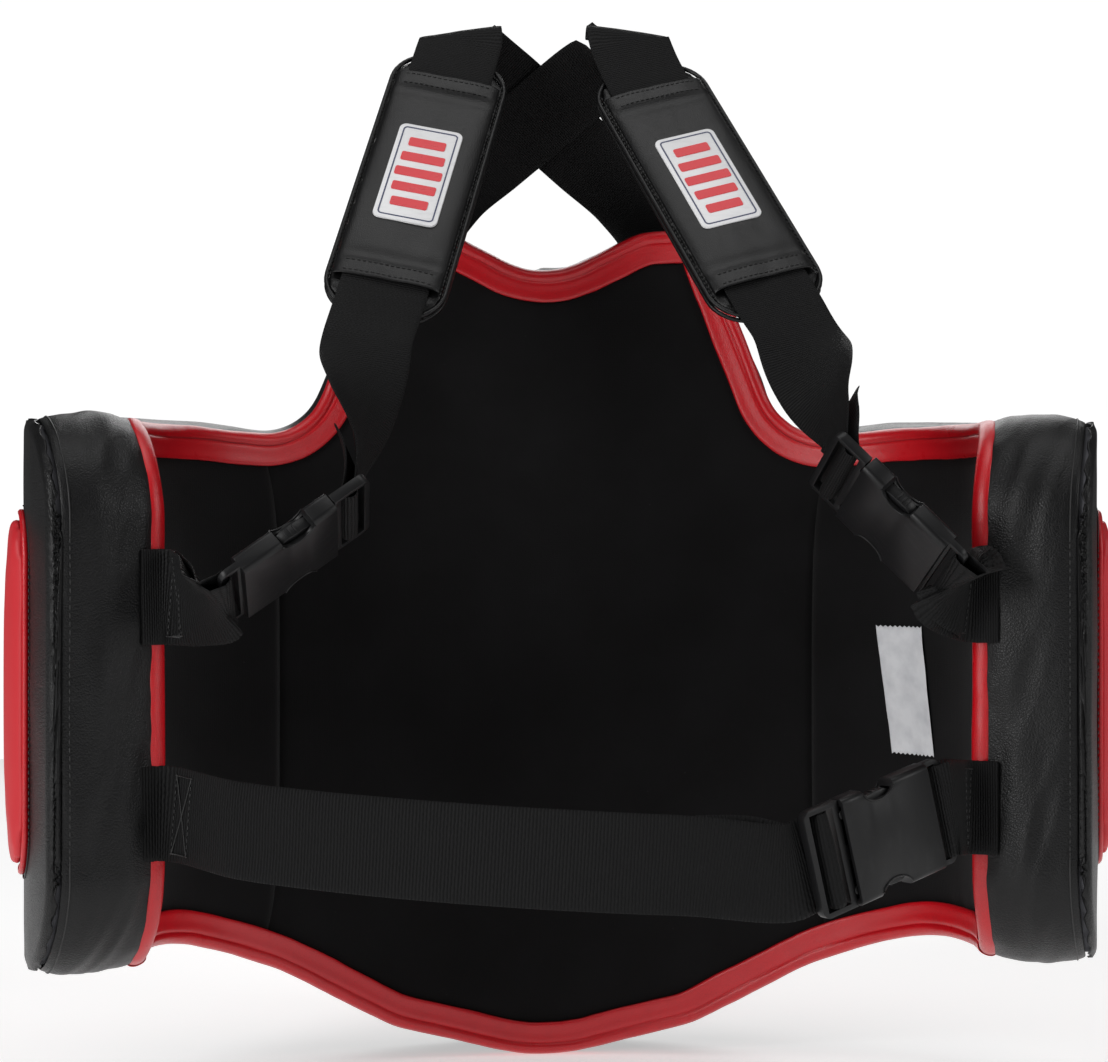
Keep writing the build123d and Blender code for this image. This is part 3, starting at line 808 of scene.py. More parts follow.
    def ring(self, depth: float) -> np.ndarray:
        """The outline's lengths and heights at a depth, clockwise from the neckline."""
        end = self.end_length(depth)
        upper = np.stack(
            [self.arc(self.angle_at_x(self.upper_line[:, 0], depth), depth), self.upper_line[:, 1]], axis=1
        )
        lower = np.stack(
            [self.arc(self.angle_at_x(self.lower_line[:, 0], depth), depth), self.lower_line[:, 1]], axis=1
        )
        shares = np.linspace(0, 1, 40)[1:]
        wing = [[upper[-1, 0] * (1 - k) + (end - self.corner) * k, self.top] for k in shares]
        turns = np.linspace(math.pi / 2, 0, 24)[1:]
        wing += [
            [end - self.corner + self.corner * math.cos(t), self.top - self.corner + self.corner * math.sin(t)]
            for t in turns
        ]
        upright = np.linspace(self.top - self.corner, self.bottom + self.corner, 46)[1:]
        wing += [[end, z] for z in upright]
        wing += [
            [end - self.corner + self.corner * math.cos(t), self.bottom + self.corner - self.corner * math.sin(t)]
            for t in turns[::-1][1:]
        ]
        wing += [[end - self.corner, self.bottom]]
        wing += [[lower[-1, 0] * k + (end - self.corner) * (1 - k), self.bottom] for k in shares[:-1]]
        right = np.concatenate([upper, np.array(wing), lower[::-1]])
        left = right[1:-1][::-1] * [-1, 1]
        return np.concatenate([right, left])

    def edge(self, depth: float, inset: np.ndarray | float = 0.0) -> np.ndarray:
        """The ring moved in from the outline by an inset, in the wall's own surface."""
        line = self.ring(depth)
        ahead = np.roll(line, -2, 0) - np.roll(line, 2, 0)
        outward = unit(np.stack([-ahead[:, 1], ahead[:, 0]], axis=1))
        return line - outward * np.reshape(inset, (-1, 1))

    def edge_points(self, depth: float, inset: np.ndarray | float = 0.0) -> np.ndarray:
        """The moved ring as points in the row frame."""
        line = self.edge(depth, inset)
        return self.place(line[:, 0], line[:, 1], np.full(len(line), depth))


class Part(Enum):
    """The four lengths that the edge's skins are cut to."""

    NECKLINE = "neckline"
    RIGHT_SIDE = "right_side"
    BOTTOM = "bottom"
    LEFT_SIDE = "left_side"


@dataclass
class EdgeSkins:
    """The gusset and the binding that run round the shell's edge."""

    wall: Wall
    neck_x: float = 0.090
    bottom_y: float = -0.010
    gusset_from: float = 0.0035
    seam_depth: float = 0.0560
    bulge: float = 0.0055
    skin: float = 0.0010
    stitch_depth: float = 0.0515

    def __post_init__(self) -> None:
        """Finds where the four lengths start and stop."""
        points = self.wall.edge_points(0.0)
        self.count = len(points)
        half = self.count // 2
        neck = int(np.argmax(points[:half, 0] > self.neck_x))
        low = np.where((points[:half, 2] < -0.15) & (points[:half, 1] > self.bottom_y))[0][0]

        def turned(k: int) -> int:
            """The ring's mirrored place of an index."""
            return (self.count - k) % self.count

        self.spans = {
            Part.NECKLINE: (turned(neck) - self.count, neck),
            Part.RIGHT_SIDE: (neck, int(low)),
            Part.BOTTOM: (int(low), turned(int(low))),
            Part.LEFT_SIDE: (turned(int(low)), turned(neck)),
        }
        steps = np.linalg.norm(np.diff(np.concatenate([points, points[:1]]), axis=0), axis=1)
        self.lengths = np.concatenate([[0], np.cumsum(steps)])[:-1]

    def _rows(self, section: Sequence[tuple[float, float]], lift: Callable[[int, float], float]) -> np.ndarray:
        """Ring points for each step of a section, with a local lift off the edge."""
        rows = []
        for share, (inset, depth) in zip(np.linspace(0, 1, len(section)), section):
            lifts = np.array([lift(k, share) for k in range(self.count)])
            rows.append(self.wall.edge_points(depth, inset - lifts))
        return np.stack(rows)

    def _span(self, rows: np.ndarray, part: Part, extra: int = 0) -> np.ndarray:
        """The part of ring rows that one length covers."""
        start, stop = self.spans[part]
        index = np.arange(start - extra, stop + 1 + extra) % self.count
        return rows[:, index]

    def _gusset_lift(self, k: int, share: float) -> float:
        """How far the gusset stands out: a bulge, puckers at its seams and slow folds."""
        crown = math.sin(math.pi * min(max(share, 0.0), 1.0)) ** 0.75
        along = self.lengths[k]
        near_lining = math.exp(-share / 0.16)
        near_cover = math.exp(-(1 - share) / 0.10)
        pucker = ripple(along * 75, share * 1.5, 3.1) * 0.0016 * (near_lining + 0.55 * near_cover)
        fold = ripple(along * 17, share * 3.0, 8.7) * 0.0026 * crown
        crease = -abs(ripple(along * 26 + share * 4, share * 2.0, 5.5)) * 0.0022 * crown
        edge = min(1.0, share / 0.06, (1 - share) / 0.04)
        return self.bulge * crown + (pucker + fold + crease) * edge + 0.0004

    def build_gussets(self) -> list[bpy.types.Object]:
        """The black gusset in four lengths.

        Returns:
            The four pieces.
        """
        depths = self.gusset_from + (self.seam_depth - self.gusset_from) * np.linspace(0, 1, 22)
        rows = self._rows([(0.0, d) for d in depths], self._gusset_lift)
        outer, inner = self.wall.edge_points(0.03), self.wall.edge_points(0.03, 0.02)
        made = []
        for part in Part:
            points = self._span(rows, part)
            bm = grid(points)
            face_away(bm, points[11, 9], (inner - outer)[self.spans[part][0] + 9])
            piece = Piece(
                f"{part.value}_gusset_skin", BLACK_VINYL, SHELL, "black_vinyl", (f"{part.value}_gusset",),
                smooth=1, skin=self.skin,
            )
            made.append(piece.make(bm))
        return made

    def _binding_lift(self, k: int, share: float) -> float:
        """Small wavers of the tape."""
        along = self.lengths[k]
        return 0.0005 * ripple(along * 38, share * 2.0, 1.3) + 0.0003 * ripple(along * 120, share * 4, 6.1)

    def build_bindings(self) -> list[bpy.types.Object]:
        """The red tape folded over the edge, in four lengths that lap at their ends.

        Returns:
            The four pieces.
        """
        section = [
            (0.0172, 0.0002), (0.0178, -0.0008), (0.0176, -0.0020), (0.0164, -0.0027), (0.0145, -0.0026),
            (0.0120, -0.0023), (0.0095, -0.0024), (0.0072, -0.0026), (0.0058, -0.0022), (0.0052, -0.0012),
            (0.0046, -0.0021), (0.0030, -0.0027), (0.0012, -0.0024), (-0.0006, -0.0012), (-0.0018, 0.0006),
            (-0.0024, 0.0028), (-0.0024, 0.0050), (-0.0019, 0.0066), (-0.0010, 0.0074),
        ]
        made = []
        for part in Part:
            over = part in (Part.BOTTOM, Part.NECKLINE)
            proud = 0.0009 if over else 0.0

            def lift(k: int, share: float) -> float:
                return self._binding_lift(k, share) + proud * share

            rows = []
            for share, (inset, depth) in zip(np.linspace(0, 1, len(section)), section):
                lifts = np.array([lift(k, share) for k in range(self.count)])
                sink = np.array([0.0006 * ripple(self.lengths[k] * 30, share * 3, 4.4) for k in range(self.count)])
                deep = depth - sink * (depth < 0) - (proud if depth < 0.0001 else 0.0)
                line = self.wall.edge(max(depth, 0.0), inset - lifts)
                rows.append(self.wall.place(line[:, 0], line[:, 1], deep))
            points = self._span(np.stack(rows), part, extra=3 if over else 0)
            bm = grid(points)
            lengths = self.wall.edge(0.0)[self.spans[part][0] + 9 : self.spans[part][0] + 10, 0]
            face_away(bm, points[6, 9], self.wall.out(lengths, 0.0)[0])
            piece = Piece(
                f"{part.value}_binding_tape", RED_BINDING, SHELL, "red_binding", (f"{part.value}_binding",),
                smooth=1, skin=0.0007,
            )
            made.append(piece.make(bm))
        return made

    def build_stitches(self) -> None:
        """The binding's row of stitches and the gusset's row beside the cover seam."""
        tape, seam = Stitching(), Stitching(pitch=0.0044, length=0.0036, radius=0.00050)
        line = self.wall.edge(0.0, 0.0052)
        points = self.wall.place(line[:, 0], line[:, 1], np.full(len(line), -0.0015))
        out = -self.wall.out(line[:, 0], 0.0)
        tape.sew(points, out)
        share = (self.stitch_depth - self.gusset_from) / (self.seam_depth - self.gusset_from)
        lifts = np.array([self._gusset_lift(k, share) for k in range(self.count)])
        base = self.wall.edge_points(self.stitch_depth, -lifts - 0.0001)
        inner = self.wall.edge_points(self.stitch_depth, 0.004)
        seam.sew(base, unit(base - inner))
        Piece("binding_stitches", RED_THREAD, SHELL, "red_binding").make(tape.bm)
        Piece("gusset_stitches", BLACK_THREAD, SHELL, "black_vinyl").make(seam.bm)


@dataclass
class Panels:
    """The lining's three panels and the strike face's three covers."""

    wall: Wall
    seam_angle: float = math.radians(24.0)
    cover_angle: float = math.radians(52.0)
    seam_bow: float = 0.013
    lining_pillow: float = 0.0026
    rim: float = 0.0062
    column_step: float = 0.0050
    rows: int = 90

    def _limits(self, depth: float, inset: float) -> tuple[np.ndarray, np.ndarray]:
        """The upper and lower edge as heights over lengths, for the right half."""
        line = self.wall.edge(depth, inset)
        half = len(line) // 2
        right = line[: half + 1]
        right = right[right[:, 0] >= -1e-6]
        top = int(np.argmax(right[:, 0]))
        return right[: top + 1], right[top:][::-1]

    def _grid(self, start: float, stop: float, depth: float, inset: float, bow: Callable[[float, float], float]) -> np.ndarray:
        """Lengths and heights over a panel between two lengths round the wall."""
        upper, lower = self._limits(depth, inset)
        far = min(abs(stop), upper[-1, 0]) if stop > 0 else -min(abs(stop), upper[-1, 0])
        near = start
        fine = np.linspace(near, far, 1600)
        z = np.interp(np.abs(fine), upper[:, 0], upper[:, 1])
        w = np.interp(np.abs(fine), lower[:, 0], lower[:, 1])
        metric = np.sqrt(np.gradient(fine) ** 2 + 0.5 * np.gradient(z) ** 2 + 0.5 * np.gradient(w) ** 2)
        reach = np.concatenate([[0], np.cumsum(metric[1:])])
        columns = np.interp(
            np.linspace(0, reach[-1], max(8, int(reach[-1] / self.column_step))), reach, fine
        )
        shares = np.linspace(0, 1, self.rows)
        shares = shares - 0.11 * np.sin(2 * math.pi * shares)
        lengths = np.zeros((self.rows, len(columns)))
        heights = np.zeros_like(lengths)
        for row, share in enumerate(shares):
            place = columns + np.array(
                [bow(share, k) for k in np.linspace(0, 1, len(columns))]
            )
            place = np.clip(place, -upper[-1, 0], upper[-1, 0])
            high = np.interp(np.abs(place), upper[:, 0], upper[:, 1])
            low = np.interp(np.abs(place), lower[:, 0], lower[:, 1])
            lengths[row], heights[row] = place, low + (high - low) * share
        return np.stack([lengths, heights], axis=-1)

    def _distance(self, lines: Iterable[np.ndarray], field_2d: np.ndarray) -> np.ndarray:
        """How far each point of a panel is from the nearest of some lines."""
        points = np.concatenate(list(lines))
        tree = kdtree.KDTree(len(points))
        for number, (a, b) in enumerate(points):
            tree.insert((a, b, 0.0), number)
        tree.balance()
        flat = field_2d.reshape(-1, 2)
        found = [tree.find((a, b, 0.0))[2] for a, b in flat]
        return np.array(found).reshape(field_2d.shape[:2])

    def _seam(self, length: float, bow: float = 0.0) -> np.ndarray:
        """An upright seam's line at a length round the wall, bowed out at its ends."""
        share = np.linspace(0, 1, 400)
        away = bow * (2 * share - 1) ** 4
        return np.stack([length + math.copysign(1, length) * away, -0.34 + 0.54 * share], axis=1)

    def _bow(self, sides: tuple[float, float]) -> Callable[[float, float], float]:
        """The sideways shift of a panel's points so that its seams bow out."""
        start, stop = sides

        def shift(share: float, across: float) -> float:
            curve = self.seam_bow * (2 * share - 1) ** 4
            return curve * (start * (1 - across) + stop * across)

        return shift

    def build_lining(self) -> list[bpy.types.Object]:
        """The three lining panels, softly pillowed between binding and seams.

        Returns:
            The three pieces.
        """
        seam = float(self.wall.arc(np.array(self.seam_angle), np.array(0.0)))
        end = self.wall.end_length(0.0) - 0.001
        ring = self.wall.edge(0.0, 0.016)
        seams = [self._seam(seam, self.seam_bow), self._seam(-seam, self.seam_bow)]
        panels = {
            "lining_centre": (-seam, seam, (-1.0, 1.0)),
            "lining_right": (seam, end, (1.0, 0.0)),
            "lining_left": (-seam, -end, (-1.0, 0.0)),
        }
        made = []
        for name, (start, stop, bows) in panels.items():
            cloth = self._grid(start, stop, 0.0, 0.0012, self._bow(bows))
            from_edge = self._distance([ring], cloth)
            from_seam = self._distance(seams, cloth)
            inside = self._distance([self.wall.edge(0.0, 0.0)], cloth) > 0.0165
            rise = (1 - np.exp(-from_edge / 0.011)) * inside * (1 - np.exp(-from_seam / 0.006))
            slow = np.array(
                [[ripple(a * 9, b * 9, 2.2) + 0.4 * ripple(a * 30, b * 24, 7.7) for a, b in row] for row in cloth]
            )
            sink = 0.0006 * np.exp(-((from_seam / 0.0016) ** 2))
            depth = 0.0003 - self.lining_pillow * rise - 0.0011 * slow * rise + sink
            points = self.wall.at(self.wall.angle(cloth[..., 0], np.array(0.0)), cloth[..., 1], depth)
            bm = grid(points)
            middle = (self.rows // 2, points.shape[1] // 2)
            face_away(bm, points[middle], self.wall.out(cloth[middle][:1], 0.0)[0])
            piece = Piece(f"{name}_panel", LINING_CLOTH, SHELL, "lining_fabric", (name,), skin=0.0009)
            made.append(piece.make(bm))
        return made

    def build_covers(self) -> list[bpy.types.Object]:
        """The strike face's covers, rolled over the edge to the gusset's seam.

        Returns:
            The three pieces.
        """
        wall = self.wall
        face = wall.thickness
        seam = float(wall.arc(np.array(self.cover_angle), np.array(face)))
        end = wall.end_length(face)
        edge = wall.edge(face, -0.0008)
        seams = [self._seam(seam), self._seam(-seam)]
        straight = self._bow((0.0, 0.0))
        panels = {
            "front_cover": (-seam, seam), "right_side_cover": (seam, end + 0.0008), "left_side_cover": (-seam, -end - 0.0008),
        }
        made = []
        for name, (start, stop) in panels.items():
            cloth = self._grid(start, stop, face, -0.0008, straight)
            from_edge = self._distance([edge], cloth)
            from_seam = self._distance(seams, cloth)
            turn = np.clip(1 - from_edge / self.rim, 0, 1)
            roll = self.rim * (1 - np.sqrt(np.maximum(0.0, 1 - turn**2)))
            groove = 0.0011 * np.exp(-((from_seam / 0.0022) ** 2))
            slow = np.array([[ripple(a * 14, b * 14, 9.2) for a, b in row] for row in cloth])
            pucker = np.array([[ripple(a * 60, b * 60, 1.7) for a, b in row] for row in cloth])
            flat = 1 - np.exp(-from_edge / 0.010)
            depth = face - roll - groove + 0.0008 * slow * flat + 0.0005 * pucker * np.exp(-from_edge / 0.02) * flat
            points = wall.at(wall.angle(cloth[..., 0], np.array(face)), cloth[..., 1], depth)
            bm = grid(points)
            middle = (self.rows // 2, points.shape[1] // 2)
            face_away(bm, points[middle], -wall.out(cloth[middle][:1], face)[0])
            piece = Piece(f"{name}_skin", BLACK_VINYL, SHELL, "black_vinyl", (name,), skin=0.0010)
            made.append(piece.make(bm))
        self._cover_stitches(seam, end)
        return made

    def _cover_stitches(self, seam: float, end: float) -> None:
        """The rows of stitches beside the cover's two upright seams."""
        rows = Stitching(pitch=0.0044, length=0.0036, radius=0.00050)
        face = self.wall.thickness
        upper, lower = self._limits(face, 0.008)
        for side in (-1, 1):
            for away in (-0.0045, 0.0045):
                place = seam + away
                high = float(np.interp(place, upper[:, 0], upper[:, 1]))
                low = float(np.interp(place, lower[:, 0], lower[:, 1]))
                heights = np.linspace(low, high, 90)
                lengths = np.full(90, side * place)
                points = self.wall.place(lengths, heights, np.full(90, face + 0.0001))
                rows.sew(points, self.wall.out(lengths, face))
        Piece("cover_stitches", BLACK_THREAD, SHELL, "black_vinyl").make(rows.bm)


@dataclass
class StrikePad:
    """A raised target on the strike face: swollen vinyl, a piped edge and stitches."""

    wall: Wall
    name: str
    angles: tuple[float, float]
    low: float = -0.187
    high: float = 0.012
    rise: float = 0.0085
    round_corner: float = 0.024
    inset: float = 0.0035

    def _map(self, points: Iterable[Vector]) -> list[Vector]:
        """Flat points, as length, height and rise, put on the wall."""
        face = self.wall.thickness
        values = np.array([tuple(p) for p in points])
        angles = self.wall.angle(values[:, 0], np.array(face))
        placed = self.wall.at(angles, values[:, 1], face + 0.0003 + values[:, 2])
        return [Vector(p) for p in placed]

    def _lengths(self) -> tuple[float, float]:
        """The pad's ends as lengths round the wall's face."""
        face = np.array(self.wall.thickness)
        return tuple(float(self.wall.arc(np.array(math.radians(a)), face)) for a in self.angles)

    def build(self) -> bpy.types.Object:
        """The swollen pad with its piping and stitches.

        Returns:
            The pad.
        """
        start, stop = self._lengths()
        middle = ((start + stop) / 2, (self.low + self.high) / 2)
        width, tall = stop - start - 2 * self.inset, self.high - self.low - 2 * self.inset
        bm = bmesh.new()
        bmesh.ops.create_cube(bm, size=1.0)
        bmesh.ops.scale(bm, verts=bm.verts, vec=(width, tall, self.rise))
        bmesh.ops.translate(bm, verts=bm.verts, vec=(*middle, self.rise / 2))
        upright = [e for e in bm.edges if abs(e.verts[0].co.z - e.verts[1].co.z) > self.rise / 2]
        bmesh.ops.bevel(
            bm, geom=upright, offset=self.round_corner, affect="EDGES", segments=8, profile=0.5, material=-1
        )
        crown = [e for e in bm.edges if all(v.co.z > self.rise / 2 for v in e.verts)]
        bmesh.ops.bevel(
            bm, geom=crown, offset=0.006, affect="EDGES", segments=4, profile=0.5, material=-1
        )
        count = int(width / 0.012)
        for number in range(1, count):
            at = middle[0] - width / 2 + width * number / count
            bmesh.ops.bisect_plane(
                bm, geom=bm.verts[:] + bm.edges[:] + bm.faces[:], plane_co=(at, 0, 0), plane_no=(1, 0, 0)
            )
        for vert, place in zip(bm.verts, self._map([v.co for v in bm.verts])):
            vert.co = place
        pad = Piece(
            f"{self.name}_target", RED_VINYL, SHELL, "red_vinyl", (f"{self.name}_cover", f"{self.name}_foam")
        ).make(bm)
        puff(pad, self._held, 0.005, 4.0, 0.0035)
        self._trim(middle, width, tall)
        return pad

    def _held(self, place: Vector) -> bool:
        """Whether a point lies on the pad's base, which is sewn down."""
        turn = abs(math.atan2(place.x, place.y - self.wall.widest_y))
        wing = turn > math.pi / 2
        centre = (
            Vector((0.0, self.wall.front - self.wall.front_radius))
            if abs(place.x) < (self.wall.front_radius + 0.062) * math.sin(self.wall.front_angle)
            else Vector((math.copysign(self.wall.half_width - self.wall.corner_radius, place.x), self.wall.widest_y))
        )
        radius = self.wall.front_radius if centre.x == 0 else self.wall.corner_radius
        if wing:
            centre.x = math.copysign(self.wall.half_width - self.wall.wing_radius, place.x)
            radius = self.wall.wing_radius
        return (Vector((place.x, place.y)) - centre).length - radius < self.wall.thickness + 0.0022

    def _outline(self, middle: tuple[float, float], width: float, tall: float, grow: float) -> np.ndarray:
        """The rounded outline grown by a margin, as lengths and heights."""
        radius = self.round_corner + grow
        a, b = width / 2 + grow - radius, tall / 2 + grow - radius
        turns = np.linspace(0, 2 * math.pi, 65)[:-1]
        corner = np.stack([np.cos(turns), np.sin(turns)], axis=1)
        line = corner * radius + np.sign(np.round(corner, 6)) * [a, b] + np.array(middle)
        line = np.concatenate([line, line[:1]])
        return resample(line, 0.004)

    def _trim(self, middle: tuple[float, float], width: float, tall: float) -> None:
        """The piping round the pad and the stitches beside it."""
        face = self.wall.thickness
        line = self._outline(middle, width, tall, 0.0018)
        points = self.wall.place(line[:, 0], line[:, 1], np.full(len(line), face + 0.0016))
        Piece(f"{self.name}_piping", RED_BINDING, SHELL, "red_binding").make(tube(points[:-1], 0.0019, closed=True))
        row = self._outline(middle, width, tall, 0.0055)
        points = self.wall.place(row[:, 0], row[:, 1], np.full(len(row), face + 0.0005))
        sewn = Stitching()
        sewn.sew(points, self.wall.out(row[:, 0], face))
        Piece(f"{self.name}_stitches", BLACK_THREAD, SHELL, "black_vinyl").make(sewn.bm)


# ---------------------------------------------------------------- straps and buckles


def joint(name: str) -> dict:
    """The record's joint of that name."""
    return next(j for j in frame["joints"] if j["name"] == name)


@dataclass
class Axes:
    """A place with its own right-handed directions."""

    origin: np.ndarray
    x: np.ndarray
    y: np.ndarray

    def __post_init__(self) -> None:
        """Works out the third direction."""
        self.z = np.cross(self.x, self.y)

    def point(self, x: float, y: float, z: float) -> np.ndarray:
        """A point given along the three directions."""
        return self.origin + self.x * x + self.y * y + self.z * z

    def points(self, local: np.ndarray) -> np.ndarray:
        """Points given along the three directions."""
        return self.origin + local[..., :1] * self.x + local[..., 1:2] * self.y + local[..., 2:] * self.z

    def matrix(self) -> Matrix:
        """The place as a matrix."""
        columns = [(*self.x, 0), (*self.y, 0), (*self.z, 0), (*self.origin, 1)]
        return Matrix(columns).transposed()


def smooth_path(stations: np.ndarray, step: float) -> np.ndarray:
    """A smooth curve through stations, by Catmull-Rom on chord lengths.

    Args:
        stations: Rows of values; the first three are the place.
        step: The longest distance between two points of the result.

    Returns:
        The finer rows.
    """
    ends = [2 * stations[:1] - stations[1:2], stations, 2 * stations[-1:] - stations[-2:-1]]
    p = np.concatenate(ends)
    gaps = np.linalg.norm(np.diff(p[:, :3], axis=0), axis=1) ** 0.5
    t = np.concatenate([[0], np.cumsum(np.maximum(gaps, 1e-4))])
    rows = []
    for k in range(1, len(p) - 2):
        count = max(2, int(math.ceil(np.linalg.norm(p[k + 1, :3] - p[k, :3]) / step)))
        for s in np.linspace(t[k], t[k + 1], count, endpoint=False):
            a1 = p[k - 1] + (p[k] - p[k - 1]) * (s - t[k - 1]) / (t[k] - t[k - 1])
            a2 = p[k] + (p[k + 1] - p[k]) * (s - t[k]) / (t[k + 1] - t[k])
            a3 = p[k + 1] + (p[k + 2] - p[k + 1]) * (s - t[k + 1]) / (t[k + 2] - t[k + 1])
            b1 = a1 + (a2 - a1) * (s - t[k - 1]) / (t[k + 1] - t[k - 1])
            b2 = a2 + (a3 - a2) * (s - t[k]) / (t[k + 2] - t[k])
            rows.append(b1 + (b2 - b1) * (s - t[k]) / (t[k + 1] - t[k]))
    return np.array(rows + [p[-2]])


@dataclass
class Strip:
    """A woven strip through stations, each a centre and a vector to one edge."""

    stations: list[tuple[np.ndarray, np.ndarray]]
    thick: float = 0.0015
    wave: float = 0.0006
    step: float = 0.004
    seed: float = 1.0

    def __post_init__(self) -> None:
        """Works out the fine rows and their own directions."""
        rows = smooth_path(np.array([[*c, *h] for c, h in self.stations]), self.step)
        half = np.linalg.norm(np.array([h for _, h in self.stations]), axis=1).mean()
        self.centre = rows[:, :3]
        ahead = unit(np.gradient(self.centre, axis=0))
        across = rows[:, 3:] - ahead * (rows[:, 3:] * ahead).sum(axis=1, keepdims=True)
        self.across = unit(across) * half
        self.face = unit(np.cross(ahead, self.across))
        steps = np.linalg.norm(np.diff(self.centre, axis=0), axis=1)
        self.along = np.concatenate([[0], np.cumsum(steps)])
        self.half = half

    def lift(self, along: np.ndarray, side: np.ndarray) -> np.ndarray:
        """The strip's own slow unevenness off its plane, at lengths and sides."""
        ease = np.minimum(1.0, np.minimum(along, self.along[-1] - along) / 0.02)
        values = [
            [ripple(a * 14, s * 1.1, self.seed) + 0.5 * ripple(a * 45, s * 2, self.seed + 5) for s in side[0]]
            for a in along[:, 0]
        ]
        return self.wave * np.array(values) * ease

    def build(self) -> bmesh.types.BMesh:
        """The strip as a closed form with rounded selvedges and its own map."""
        sides = np.array([-1.0, -0.985, -0.9, -0.6, -0.3, 0.0, 0.3, 0.6, 0.9, 0.985, 1.0])
        upper = np.sqrt(1 - np.abs(sides) ** 24)
        around = np.concatenate([sides, sides[::-1][1:]])
        out = np.concatenate([upper, -upper[::-1][1:]]) * self.thick / 2
        lift = self.lift(self.along[:, None], around[None, :])
        points = (
            self.centre[:, None] + self.across[:, None] * around[None, :, None]
            + self.face[:, None] * (out[None, :] + lift)[..., None]
        )
        uv = np.stack(np.broadcast_arrays(around[None, :] * self.half, self.along[:, None]), axis=-1)
        return grid(points, uv=uv, closed=True, caps=True)

    def surface(self, along: float, side: float, above: float) -> tuple[np.ndarray, np.ndarray]:
        """A point near the strip's face and the face's direction there."""
        row = int(np.clip(np.searchsorted(self.along, along), 1, len(self.along) - 1))
        share = (along - self.along[row - 1]) / (self.along[row] - self.along[row - 1])
        blend = [a[row - 1] * (1 - share) + a[row] * share for a in (self.centre, self.across, self.face)]
        level = math.copysign(self.thick / 2, above) + above
        return blend[0] + blend[1] * side + blend[2] * level, blend[2] * math.copysign(1, above)

    def box_stitch(self, thread: Stitching, start: float, stop: float, above: float, cross: bool = True) -> None:
        """Sews a box, with or without its cross, on one face of the strip."""
        corners = [(start, -0.82), (stop, -0.82), (stop, 0.82), (start, 0.82), (start, -0.82)]
        lines = [corners] + ([[corners[0], corners[2]], [corners[1], corners[3]]] if cross else [])
        for line in lines:
            for (a, s), (b, t) in zip(line, line[1:]):
                found = [self.surface(a + (b - a) * k, s + (t - s) * k, above) for k in np.linspace(0, 1, 12)]
                thread.sew(np.array([f[0] for f in found]), np.array([f[1] for f in found]))


